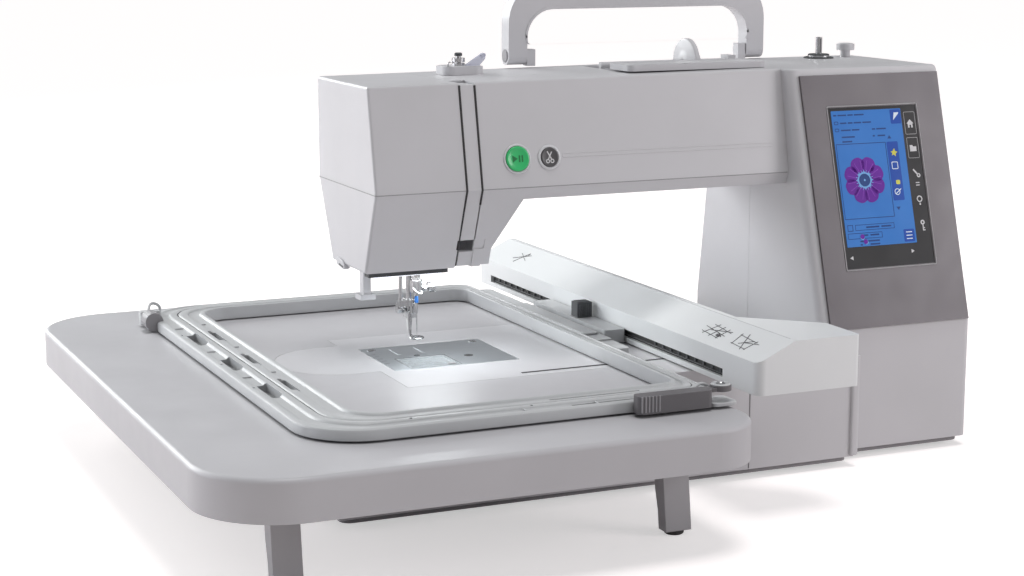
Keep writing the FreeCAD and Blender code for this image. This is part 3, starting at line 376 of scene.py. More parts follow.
def metal(name, look):
    material, tree, shader, vector = newMaterial(name)
    stretch = look.get("stretch", (900.0, 900.0, 60.0))
    lines = place(tree, brushLines, tones(look, Stretch=stretch), {"Vector": vector})
    rub = place(tree, edgeRub, {
        "Rubbed": rgba(look["rubbed"]),
        "Width": look.get("edge", 0.4) * mm,
        "Amount": look.get("rub", 0.6),
    }, {"Vector": vector, "Color": lines.outputs["Color"]})
    # corner darkening: painted shade from ambient occlusion, with a little dust
    dust = place(tree, cornerDustAndShade, {
        "Dust And Shade": rgba(look["dust"]),
        "Reach": 0.002,
        "Amount": look.get("dustAndShadeAmount", 0.5),
    }, {"Vector": vector, "Color": rub.outputs["Color"]})
    tree.links.new(dust.outputs["Color"], shader.inputs["Base Color"])
    tree.links.new(lines.outputs["Roughness"], shader.inputs["Roughness"])
    shader.inputs["Metallic"].default_value = look.get("metallic", 1.0)
    bumped(tree, shader, lines.outputs["Height"], look.get("depth", 0.02) * mm, look.get("bump", 0.3))
    return material


def glowing(name, look):
    material, tree, shader, vector = newMaterial(name)
    scales = {"Grain Scale": 1500.0, "Tone Scale": 30.0}
    skin = place(tree, mouldedSkin, tones(look, **scales), {"Vector": vector})
    tree.links.new(skin.outputs["Color"], shader.inputs["Base Color"])
    tree.links.new(skin.outputs["Color"], shader.inputs["Emission Color"])
    shader.inputs["Specular IOR Level"].default_value = 0.18
    tree.links.new(skin.outputs["Roughness"], shader.inputs["Roughness"])
    shader.inputs["Emission Strength"].default_value = look["glow"]
    bumped(tree, shader, skin.outputs["Height"], 0.01 * mm, 0.2)
    return material


def clear(name, look):
    material, tree, shader, vector = newMaterial(name)
    skin = place(tree, mouldedSkin, tones(look, **{"Tone Scale": 40.0}), {"Vector": vector})
    rub = place(tree, edgeRub, {
        "Rubbed": rgba(look["rubbed"]),
        "Width": 0.7 * mm,
        "Amount": 0.8,
    }, {"Vector": vector, "Color": skin.outputs["Color"]})
    tree.links.new(rub.outputs["Color"], shader.inputs["Base Color"])
    tree.links.new(skin.outputs["Roughness"], shader.inputs["Roughness"])
    edgeAlpha = ramp(tree, rub.outputs["Mask"], 0.0, 0.6, look["alpha"], 0.9)
    tree.links.new(edgeAlpha, shader.inputs["Alpha"])
    bumped(tree, shader, skin.outputs["Height"], 0.01 * mm, 0.15)
    return material


# each finish's dust colour darkens its corners: partly dust, partly painted shade
finishes = {
    "pale_shell": (plastic, {
        "base": (0.655, 0.650, 0.672), "tone": (0.615, 0.612, 0.630), "rubbed": (0.78, 0.78, 0.80),
        "dust": (0.36, 0.34, 0.33), "rough": (0.36, 0.50), "rub": 0.35, "dustAndShadeAmount": 0.32, "coat": 0.12,
        "coatRough": 0.22}),
    "panel_taupe": (plastic, {
        "base": (0.140, 0.124, 0.135), "tone": (0.125, 0.110, 0.120), "rubbed": (0.27, 0.25, 0.26),
        "dust": (0.10, 0.09, 0.09), "rough": (0.34, 0.46), "grain": 3200.0, "rub": 0.3, "coat": 0.25,
        "coatRough": 0.25}),
    "screen_glass": (plastic, {
        "base": (0.018, 0.018, 0.019), "tone": (0.014, 0.014, 0.015), "rubbed": (0.12, 0.12, 0.12),
        "dust": (0.10, 0.10, 0.10), "rough": (0.32, 0.40), "coat": 0.0, "ior": 1.3, "dustAndShadeAmount": 0.2,
        "bump": 0.1}),
    "green_button": (plastic, {
        "base": (0.045, 0.60, 0.19), "tone": (0.040, 0.54, 0.17), "rubbed": (0.20, 0.70, 0.32),
        "dust": (0.02, 0.22, 0.07), "rough": (0.24, 0.36), "coat": 0.4, "milk": 0.05}),
    "dark_button": (plastic, {
        "base": (0.105, 0.102, 0.106), "tone": (0.085, 0.083, 0.087), "rubbed": (0.22, 0.22, 0.22),
        "dust": (0.05, 0.05, 0.05), "rough": (0.28, 0.40)}),
    "steel": (metal, {
        "base": (0.62, 0.62, 0.63), "tone": (0.48, 0.48, 0.49), "rubbed": (0.85, 0.85, 0.85),
        "dust": (0.12, 0.115, 0.11), "rough": (0.16, 0.32)}),
    "plate_steel": (metal, {
        "base": (0.82, 0.86, 0.90), "tone": (0.74, 0.78, 0.82), "rubbed": (0.90, 0.92, 0.94),
        "dust": (0.14, 0.14, 0.14), "rough": (0.30, 0.44), "stretch": (30.0, 1500.0, 1500.0)}),
    "clear_cover": (clear, {
        "base": (0.70, 0.74, 0.76), "tone": (0.62, 0.66, 0.69), "rubbed": (0.90, 0.92, 0.94),
        "rough": (0.06, 0.14), "alpha": 0.42}),
    "hoop_grey": (plastic, {
        "base": (0.560, 0.570, 0.578), "tone": (0.520, 0.530, 0.540), "rubbed": (0.70, 0.71, 0.72),
        "dust": (0.17, 0.17, 0.17), "rough": (0.34, 0.48), "rub": 0.6, "dustAndShadeAmount": 0.45}),
    "dark_grey": (plastic, {
        "base": (0.075, 0.080, 0.086), "tone": (0.060, 0.065, 0.070), "rubbed": (0.16, 0.16, 0.17),
        "dust": (0.09, 0.085, 0.08), "rough": (0.40, 0.55)}),
    "mid_grey": (plastic, {
        "base": (0.330, 0.320, 0.335), "tone": (0.300, 0.292, 0.305), "rubbed": (0.45, 0.45, 0.46),
        "dust": (0.15, 0.14, 0.14), "rough": (0.40, 0.55)}),
    "cast_frame": (metal, {
        "base": (0.40, 0.40, 0.41), "tone": (0.30, 0.30, 0.31), "rubbed": (0.62, 0.62, 0.62),
        "dust": (0.10, 0.10, 0.10), "rough": (0.45, 0.65), "stretch": (420.0, 420.0, 420.0), "bump": 0.6,
        "depth": 0.12}),
    "black_part": (plastic, {
        "base": (0.022, 0.022, 0.024), "tone": (0.016, 0.016, 0.018), "rubbed": (0.10, 0.10, 0.10),
        "dust": (0.06, 0.055, 0.05), "rough": (0.35, 0.5)}),
    "bronze": (metal, {
        "base": (0.52, 0.34, 0.17), "tone": (0.42, 0.26, 0.12), "rubbed": (0.74, 0.52, 0.30),
        "dust": (0.10, 0.07, 0.04), "rough": (0.3, 0.5)}),
    "belt_rubber": (plastic, {
        "base": (0.025, 0.025, 0.026), "tone": (0.018, 0.018, 0.018), "rubbed": (0.07, 0.07, 0.07),
        "dust": (0.08, 0.075, 0.07), "rough": (0.6, 0.8), "grain": 1400.0, "bump": 0.6}),
    "foot_rubber": (plastic, {
        "base": (0.040, 0.040, 0.042), "tone": (0.030, 0.030, 0.032), "rubbed": (0.09, 0.09, 0.09),
        "dust": (0.12, 0.11, 0.10), "rough": (0.65, 0.85), "grain": 1200.0, "bump": 0.6, "dustAndShadeAmount": 0.6}),
    # finishes that only the detail pieces use
    # painted light: a paler copy of the pale shell for the carriage housing, for the back light that falls on
    # it
    "housingShell": (plastic, {
        "base": (0.86, 0.88, 0.885), "tone": (0.82, 0.84, 0.845), "rubbed": (0.90, 0.91, 0.92),
        "dust": (0.42, 0.41, 0.40), "rough": (0.34, 0.46), "rub": 0.3, "coat": 0.12, "coatRough": 0.22}),
    # painted shade: a darker copy of the pale shell for the extension table, for the shade on its top and
    # front
    "tableShell": (plastic, {
        "base": (0.560, 0.555, 0.575), "tone": (0.525, 0.520, 0.540), "rubbed": (0.70, 0.70, 0.72),
        "dust": (0.32, 0.31, 0.30), "rough": (0.38, 0.50), "rub": 0.3, "coat": 0.08, "coatRough": 0.25}),
    "leverGrey": (plastic, {
        "base": (0.155, 0.148, 0.155), "tone": (0.135, 0.128, 0.135), "rubbed": (0.30, 0.29, 0.30),
        "dust": (0.09, 0.09, 0.09), "rough": (0.36, 0.48), "rub": 0.4}),
    # painted shade: a darker copy of the pale shell for the legs, which stand in the table's shadow
    "legShell": (plastic, {
        "base": (0.50, 0.495, 0.51), "tone": (0.46, 0.455, 0.47), "rubbed": (0.65, 0.65, 0.66),
        "dust": (0.22, 0.21, 0.21), "rough": (0.38, 0.52), "dustAndShadeAmount": 0.5}),
    "leverClear": (clear, {
        "base": (0.72, 0.74, 0.86), "tone": (0.64, 0.66, 0.78), "rubbed": (0.88, 0.90, 0.95),
        "rough": (0.08, 0.16), "alpha": 0.72}),
    # painted shade on the floors of the hoop windows
    "windowGrey": (plastic, {
        "base": (0.23, 0.235, 0.24), "tone": (0.20, 0.205, 0.21), "rubbed": (0.35, 0.35, 0.36),
        "dust": (0.10, 0.10, 0.10), "rough": (0.5, 0.6)}),
    "frameGrey": (plastic, {
        "base": (0.36, 0.355, 0.365), "tone": (0.32, 0.315, 0.325), "rubbed": (0.55, 0.55, 0.55),
        "dust": (0.16, 0.16, 0.16), "rough": (0.25, 0.4)}),
    "startInk": (plastic, {
        "base": (0.015, 0.20, 0.06), "tone": (0.012, 0.17, 0.05), "rubbed": (0.03, 0.3, 0.1),
        "dust": (0.01, 0.1, 0.03), "rough": (0.3, 0.5), "cloud": 300.0}),
    # painted shade: a dark colour laid in slots, gaps, holes, vents and port mouths where shade falls
    "gapDark": (plastic, {
        "base": (0.050, 0.048, 0.050), "tone": (0.036, 0.035, 0.036), "rubbed": (0.09, 0.09, 0.09),
        "dust": (0.03, 0.03, 0.03), "rough": (0.55, 0.75)}),
    "seamShade": (plastic, {
        "base": (0.30, 0.295, 0.305), "tone": (0.25, 0.245, 0.255), "rubbed": (0.40, 0.40, 0.41),
        "dust": (0.16, 0.16, 0.16), "rough": (0.5, 0.65)}),
    "brightRim": (plastic, {
        "base": (0.74, 0.75, 0.77), "tone": (0.66, 0.67, 0.69), "rubbed": (0.88, 0.88, 0.9),
        "dust": (0.40, 0.40, 0.40), "rough": (0.20, 0.32), "coat": 0.4}),
    "printInk": (plastic, {
        "base": (0.060, 0.060, 0.064), "tone": (0.10, 0.10, 0.105), "rubbed": (0.14, 0.14, 0.14),
        "dust": (0.05, 0.05, 0.05), "rough": (0.5, 0.7), "cloud": 300.0}),
    "palePrint": (plastic, {
        "base": (0.72, 0.72, 0.73), "tone": (0.62, 0.62, 0.64), "rubbed": (0.8, 0.8, 0.8),
        "dust": (0.5, 0.5, 0.5), "rough": (0.4, 0.6), "cloud": 300.0}),
    "needleBlue": (plastic, {
        "base": (0.035, 0.16, 0.48), "tone": (0.03, 0.13, 0.40), "rubbed": (0.2, 0.4, 0.7),
        "dust": (0.02, 0.06, 0.15), "rough": (0.2, 0.3)}),
    "whiteThread": (plastic, {
        "base": (0.70, 0.70, 0.71), "tone": (0.55, 0.55, 0.57), "rubbed": (0.75, 0.75, 0.75),
        "dust": (0.3, 0.3, 0.3), "rough": (0.6, 0.8), "grain": 5000.0, "bump": 0.7}),
    "lampWhite": (glowing, {"base": (0.90, 0.93, 1.0), "tone": (0.80, 0.85, 0.95), "glow": 1.4}),
    "lcdBlue": (glowing, {"base": (0.042, 0.185, 0.53), "tone": (0.036, 0.165, 0.49), "glow": 0.20}),
    "lcdDeep": (glowing, {"base": (0.018, 0.075, 0.37), "tone": (0.015, 0.065, 0.33), "glow": 0.20}),
    "lcdInk": (glowing, {"base": (0.018, 0.050, 0.18), "tone": (0.022, 0.060, 0.20), "glow": 0.2}),
    "lcdPale": (glowing, {"base": (0.20, 0.42, 0.72), "tone": (0.16, 0.36, 0.66), "glow": 0.2}),
    "lcdWhite": (glowing, {"base": (0.66, 0.74, 0.82), "tone": (0.58, 0.66, 0.76), "glow": 0.2}),
    "lcdYellow": (glowing, {"base": (0.60, 0.58, 0.10), "tone": (0.52, 0.50, 0.08), "glow": 0.2}),
    "petalPurple": (glowing, {"base": (0.145, 0.020, 0.32), "tone": (0.110, 0.016, 0.26), "glow": 0.2}),
    "petalLight": (glowing, {"base": (0.23, 0.060, 0.42), "tone": (0.19, 0.045, 0.37), "glow": 0.2}),
}
materials = {name: make(name, look) for name, (make, look) in finishes.items()}
print("materials built:", len(materials))

# the carriage housing and the table take paler and darker copies of the pale shell: painted light and painted
# shade
ownFinish = {
    "carriage_housing": "housingShell",
    "extension_table": "tableShell",
    "handle_pivots": "pale_shell",
    "hoop_lever": "leverGrey",
}
for name, node in cadNodes.items():
    for holder in node.material_slots:
        holder.material = materials[ownFinish.get(name, holder.material.name.split(".")[0])]


# mesh helpers; every length given to them is in millimetres
def axes(origin, xAxis, yAxis):
    x = Vector(xAxis).normalized()
    z = x.cross(Vector(yAxis)).normalized()
    y = z.cross(x)
    turn = Matrix((x, y, z)).transposed().to_4x4()
    return Matrix.Translation(Vector(origin)) @ turn


flat = Matrix.Identity(4)


def finish(bm, name, body, look, angle=32, bevel=0.0, steps=2):
    bmesh.ops.remove_doubles(bm, verts=bm.verts, dist=0.0005)
    bmesh.ops.recalc_face_normals(bm, faces=bm.faces)
    bmesh.ops.scale(bm, vec=(mm, mm, mm), verts=bm.verts)
    mesh = bpy.data.meshes.new(name)
    bm.to_mesh(mesh)
    bm.free()
    return meshPiece(mesh, name, body, look, angle, bevel, steps)


def meshPiece(mesh, name, body, look, angle=32, bevel=0.0, steps=2):
    mesh.shade_smooth()
    mesh.set_sharp_from_angle(angle=math.radians(angle))
    mesh.materials.clear()
    mesh.materials.append(materials[look])
    piece = bpy.data.objects.new(name, mesh)
    scene.collection.objects.link(piece)
    if bevel:
        rounding = piece.modifiers.new("rounding", "BEVEL")
        rounding.width = bevel * mm
        rounding.segments = steps
        rounding.limit_method = "ANGLE"
        rounding.angle_limit = math.radians(40)
        rounding.harden_normals = True
    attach(piece, body)
    return piece


def slab(bm, outline, low, high, where=flat):
    bottom = [bm.verts.new(where @ Vector((x, y, low))) for x, y in outline]
    top = [bm.verts.new(where @ Vector((x, y, high))) for x, y in outline]
    bm.faces.new(bottom)
    bm.faces.new(top)
    for i in range(len(outline)):
        j = (i + 1) % len(outline)
        bm.faces.new((bottom[i], bottom[j], top[j], top[i]))


def loft(bm, rings, closed=True):
    made = [[bm.verts.new(Vector(point)) for point in ring] for ring in rings]
    count = len(made[0])
    last = len(made) if closed else len(made) - 1
    for k in range(last):
        one = made[k]
        two = made[(k + 1) % len(made)]
        for i in range(count):
            j = (i + 1) % count
            bm.faces.new((one[i], one[j], two[j], two[i]))
    if not closed:
        bm.faces.new(made[0])
        bm.faces.new(made[-1])


def ringSlab(bm, outer, inner, low, high, where=flat):
    def at(outline, z):
        return [where @ Vector((x, y, z)) for x, y in outline]
    loft(bm, [at(outer, low), at(outer, high), at(inner, high), at(inner, low)])


def turned(bm, profile, where=flat, segments=40):
    rings = []
    for radius, height in profile:
        ring = []
        for i in range(segments):
            angle = 2 * math.pi * i / segments
            ring.append(where @ Vector((radius * math.cos(angle), radius * math.sin(angle), height)))
        rings.append(ring)
    loft(bm, rings, closed=False)


def turnedRing(bm, profile, where=flat, segments=40):
    rings = []
    for radius, height in profile:
        ring = []
        for i in range(segments):
            angle = 2 * math.pi * i / segments
            ring.append(where @ Vector((radius * math.cos(angle), radius * math.sin(angle), height)))
        rings.append(ring)
    loft(bm, rings, closed=True)


def circle(x, y, radius, count=28, start=0.0, end=360.0):
    whole = abs(end - start) >= 360
    steps = count if whole else count - 1
    points = []
    for i in range(count):
        angle = math.radians(start + (end - start) * i / steps)
        points.append((x + radius * math.cos(angle), y + radius * math.sin(angle)))
    return points


def roundRect(left, bottom, right, top, radius, steps=5):
    points = []
    for x, y, start in ((right - radius, top - radius, 0), (left + radius, top - radius, 90),
                        (left + radius, bottom + radius, 180), (right - radius, bottom + radius, 270)):
        points += circle(x, y, radius, steps, start, start + 90)
    return points


def bar(x1, y1, x2, y2, width):
    run = Vector((x2 - x1, y2 - y1))
    side = Vector((-run.y, run.x)).normalized() * width / 2
    return [(x1 - side.x, y1 - side.y), (x2 - side.x, y2 - side.y),
            (x2 + side.x, y2 + side.y), (x1 + side.x, y1 + side.y)]


# a wire of round section along points, or a smooth one where smooth is true
def wire(name, runs, radius, body, look, smooth=False, closed=False):
    data = bpy.data.curves.new(name, "CURVE")
    data.dimensions = "3D"
    data.bevel_depth = radius * mm
    data.bevel_resolution = 3
    data.resolution_u = 8
    data.use_fill_caps = True
    for points in runs:
        spline = data.splines.new("NURBS" if smooth else "POLY")
        spline.points.add(len(points) - 1)
        for point, spot in zip(spline.points, points):
            point.co = (spot[0] * mm, spot[1] * mm, spot[2] * mm, 1)
        spline.use_cyclic_u = closed
        if smooth:
            spline.order_u = 3
            spline.use_endpoint_u = not closed
    holder = bpy.data.objects.new(name + "Line", data)
    scene.collection.objects.link(holder)
    depsgraph = bpy.context.evaluated_depsgraph_get()
    mesh = bpy.data.meshes.new_from_object(holder.evaluated_get(depsgraph))
    bpy.data.objects.remove(holder)
    mesh.name = name
    return meshPiece(mesh, name, body, look)


# Geometry Nodes that repeat one part along a line, and round a circle
def repeatTree(name, round):
    tree = bpy.data.node_groups.new(name, "GeometryNodeTree")
    face = tree.interface
    ids = {}
    wanted = [("Part", "NodeSocketObject"), ("Count", "NodeSocketInt"), ("Start", "NodeSocketVector"),
              ("Step", "NodeSocketVector"), ("Radius", "NodeSocketFloat"), ("Tilt", "NodeSocketVector"),
              ("Finish", "NodeSocketMaterial")]
    for title, kind in wanted:
        ids[title] = face.new_socket(name=title, in_out="INPUT", socket_type=kind).identifier
    face.new_socket(name="Geometry", in_out="OUTPUT", socket_type="NodeSocketGeometry")
    nodes, links = tree.nodes, tree.links
    inside = nodes.new("NodeGroupInput")
    outside = nodes.new("NodeGroupOutput")
    info = nodes.new("GeometryNodeObjectInfo")
    spread = nodes.new("GeometryNodeInstanceOnPoints")
    real = nodes.new("GeometryNodeRealizeInstances")
    paint = nodes.new("GeometryNodeSetMaterial")
    links.new(inside.outputs["Part"], info.inputs["Object"])
    if round:
        ring = nodes.new("GeometryNodeMeshCircle")
        links.new(inside.outputs["Count"], ring.inputs["Vertices"])
        links.new(inside.outputs["Radius"], ring.inputs["Radius"])
        index = nodes.new("GeometryNodeInputIndex")
        share = nodes.new("ShaderNodeMath")
        share.operation = "DIVIDE"
        full = nodes.new("ShaderNodeMath")
        full.operation = "MULTIPLY"
        full.inputs[1].default_value = 2 * math.pi
        packed = nodes.new("ShaderNodeCombineXYZ")
        links.new(index.outputs[0], share.inputs[0])
        links.new(inside.outputs["Count"], share.inputs[1])
        links.new(share.outputs[0], full.inputs[0])
        links.new(full.outputs[0], packed.inputs["Z"])
        links.new(ring.outputs["Mesh"], spread.inputs["Points"])
        links.new(packed.outputs[0], spread.inputs["Rotation"])
        swing = nodes.new("GeometryNodeTransform")
        links.new(spread.outputs["Instances"], swing.inputs["Geometry"])
        links.new(inside.outputs["Tilt"], swing.inputs["Rotation"])
        links.new(inside.outputs["Start"], swing.inputs["Translation"])
        links.new(swing.outputs["Geometry"], real.inputs["Geometry"])
    else:
        line = nodes.new("GeometryNodeMeshLine")
        line.mode = "OFFSET"
        links.new(inside.outputs["Count"], line.inputs["Count"])
        links.new(inside.outputs["Start"], line.inputs["Start Location"])
        links.new(inside.outputs["Step"], line.inputs["Offset"])
        links.new(line.outputs["Mesh"], spread.inputs["Points"])
        links.new(inside.outputs["Tilt"], spread.inputs["Rotation"])
        links.new(spread.outputs["Instances"], real.inputs["Geometry"])
    links.new(info.outputs["Geometry"], spread.inputs["Instance"])
    links.new(real.outputs["Geometry"], paint.inputs["Geometry"])
    links.new(inside.outputs["Finish"], paint.inputs["Material"])
    links.new(paint.outputs["Geometry"], outside.inputs["Geometry"])
    return tree, ids


rowTree, rowIds = repeatTree("rowOfParts", False)
ringTree, ringIds = repeatTree("ringOfParts", True)


def unit(name, build):
    bm = bmesh.new()
    build(bm)
    bmesh.ops.remove_doubles(bm, verts=bm.verts, dist=0.0005)
    bmesh.ops.recalc_face_normals(bm, faces=bm.faces)
    bmesh.ops.scale(bm, vec=(mm, mm, mm), verts=bm.verts)
    mesh = bpy.data.meshes.new(name)
    bm.to_mesh(mesh)
    bm.free()
    part = bpy.data.objects.new(name, mesh)
    scene.collection.objects.link(part)
    return part


# rows are (count, start, step, tilt in degrees) for a line, or (count, centre, radius, tilt) for a circle
def repeated(name, build, rows, body, look, round=False, bevel=0.0, angle=32):
    part = unit(name + "Unit", build)
    tree, ids = (ringTree, ringIds) if round else (rowTree, rowIds)
    joined = bmesh.new()
    for count, start, third, tilt in rows:
        holder = bpy.data.objects.new(name + "Rows", bpy.data.meshes.new(name + "Rows"))
        scene.collection.objects.link(holder)
        modifier = holder.modifiers.new("repeat", "NODES")
        modifier.node_group = tree
        modifier[ids["Part"]] = part
        modifier[ids["Count"]] = count
        modifier[ids["Start"]] = [value * mm for value in start]
        modifier[ids["Tilt"]] = [math.radians(value) for value in tilt]
        modifier[ids["Finish"]] = materials[look]
        if round:
            modifier[ids["Radius"]] = float(third * mm)
        else:
            modifier[ids["Step"]] = [value * mm for value in third]
        depsgraph = bpy.context.evaluated_depsgraph_get()
        mesh = bpy.data.meshes.new_from_object(holder.evaluated_get(depsgraph))
        joined.from_mesh(mesh)
        bpy.data.objects.remove(holder)
        bpy.data.meshes.remove(mesh)
    bpy.data.objects.remove(part)
    mesh = bpy.data.meshes.new(name)
    joined.to_mesh(mesh)
    joined.free()
    return meshPiece(mesh, name, body, look, angle, bevel)


# cuts rounded pockets out of a piece and leaves plain mesh
def carved(piece, cutters):
    bm = bmesh.new()
    for outline, low, high, where in cutters:
        slab(bm, outline, low, high, where)
    bmesh.ops.recalc_face_normals(bm, faces=bm.faces)
    bmesh.ops.scale(bm, vec=(mm, mm, mm), verts=bm.verts)
    mesh = bpy.data.meshes.new("pockets")
    bm.to_mesh(mesh)
    bm.free()
    tool = bpy.data.objects.new("pockets", mesh)
    scene.collection.objects.link(tool)
    cut = piece.modifiers.new("pockets", "BOOLEAN")
    cut.operation = "DIFFERENCE"
    cut.solver = "EXACT"
    cut.object = tool
    depsgraph = bpy.context.evaluated_depsgraph_get()
    made = bpy.data.meshes.new_from_object(piece.evaluated_get(depsgraph))
    piece.modifiers.remove(cut)
    bpy.data.objects.remove(tool)
    piece.data = made
    made.shade_smooth()
    made.set_sharp_from_angle(angle=math.radians(32))
    return piece


# a slot-headed screw seen from above, standing on z = 0
def slotScrew(radius, height):
    def build(bm):
        turned(bm, [(0.01, 0), (radius, 0), (radius, height * 0.6), (radius * 0.82, height), (0.01, height)],
               segments=20)
        slab(bm, bar(-radius * 0.78, 0, radius * 0.78, 0, radius * 0.22), height * 0.9, height * 1.06)
    return build


# buttons, marks and groove on the sloping front of the arm; local x is X, local y runs up the face
armFace = axes((0, -50, 220), (1, 0, 0), (0, 0.2, 0.98))
panelFace = axes((0, -102.4, 102.9), (1, 0, 0), (0, 0.275, 0.961))

startButton = {"x": -43.4, "rise": 21.2, "radius": 9.2, "dish": 7.4, "proud": 1.7, "rim": 11.0}
cutterButton = {"x": -17.6, "rise": 21.2, "radius": 7.0, "dish": 5.8, "proud": 1.5, "rim": 9.3}


def makeButton(name, sizes, body, node, look):
    where = armFace @ Matrix.Translation((sizes["x"], sizes["rise"], 0))
    r, proud = sizes["radius"], sizes["proud"]
    bm = bmesh.new()
    turned(bm, [(0.01, -4), (r, -4), (r, proud - 0.5), (r - 0.25, proud - 0.15), (r - 0.7, proud),
                (sizes["dish"] + 0.3, proud), (sizes["dish"] - 0.4, proud - 0.28),
                (sizes["dish"] * 0.5, proud - 0.40), (0.01, proud - 0.42)], where, 64)
    cap = finish(bm, name + "Cap", body, look, angle=50)
    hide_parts(node)
    bm = bmesh.new()
    turnedRing(bm, [(r + 0.22, -0.5), (sizes["rim"], -0.5), (sizes["rim"], 0.35), (sizes["rim"] - 0.3, 0.7),
                    (r + 0.9, 0.9), (r + 0.35, 0.7), (r + 0.22, 0.2)], where, 64)
    finish(bm, name + "Rim", "machine", "brightRim", angle=50)
    return where


startPlace = makeButton("start", startButton, "start_button", "start_stop_button", "green_button")
cutterPlace = makeButton("cutter", cutterButton, "cutter_button", "thread_cut_button", "dark_button")


def makeButtonMarks():
    bm = bmesh.new()
    # a plain triangle and two bars stand for start and stop
    slab(bm, [(-4.2, -2.6), (-0.2, 0), (-4.2, 2.6)], 1.25, 1.42, startPlace)
    for x in (1.4, 3.6):
        slab(bm, roundRect(x - 0.6, -2.5, x + 0.6, 2.5, 0.3, 3), 1.25, 1.42, startPlace)
    finish(bm, "startMark", "start_button", "startInk")
    bm = bmesh.new()
    for side in (-1, 1):
        slab(bm, bar(side * -1.9, 4.3, side * 1.35, -1.6, 0.85), 1.0, 1.22 + side * 0.05, cutterPlace)
        ringSlab(bm, circle(side * 1.75, -2.9, 1.6, 20), circle(side * 1.75, -2.9, 0.85, 20), 1.0, 1.25,
                 cutterPlace)
    finish(bm, "scissorMark", "cutter_button", "palePrint")


makeButtonMarks()

armTrim = {"grooveLeft": -7, "grooveRight": 173, "grooveRise": 22.3, "grooveWidth": 2.4}


def makeArmTrim():
    left, right = armTrim["grooveLeft"], armTrim["grooveRight"]
    rise, half = armTrim["grooveRise"], armTrim["grooveWidth"] / 2
    bm = bmesh.new()
    ringSlab(bm, roundRect(left, rise - half - 0.5, right, rise + half + 0.5, half + 0.45),
             roundRect(left + 0.6, rise - half + 0.1, right - 0.6, rise + half - 0.1, half - 0.15),
             -0.2, 0.32, armFace)
    finish(bm, "armGrooveLip", "machine", "pale_shell", bevel=0.15)
    bm = bmesh.new()
    slab(bm, roundRect(left + 0.5, rise - half, right - 0.5, rise + half, half - 0.05), -0.1, 0.05, armFace)
    finish(bm, "armGrooveFloor", "machine", "seamShade")


makeArmTrim()
print("buttons and arm trim made")

# the touch screen: pane, frame, picture and side keys
screen = {
    "glass": 1.70,
    "pane": (216.8, 63.0, 281.0, 169.5),
    "frame": (213.7, 45.4, 295.9, 172.6),
    "flower": (240.0, 114.5),
    "petals": 8,
    "petalReach": 12.4,
    "keyColumn": 288.6,
    "keyHeights": (157.0, 137.5, 118.0, 96.5, 76.5),
}


def lcdPiece(name, look, build, low=0.13, high=0.20):
    bm = bmesh.new()
    build(lambda outline: slab(bm, outline, screen["glass"] + low, screen["glass"] + high, panelFace),
          lambda outer, inner: ringSlab(bm, outer, inner, screen["glass"] + low, screen["glass"] + high,
                                        panelFace))
    return finish(bm, name, "machine", look)


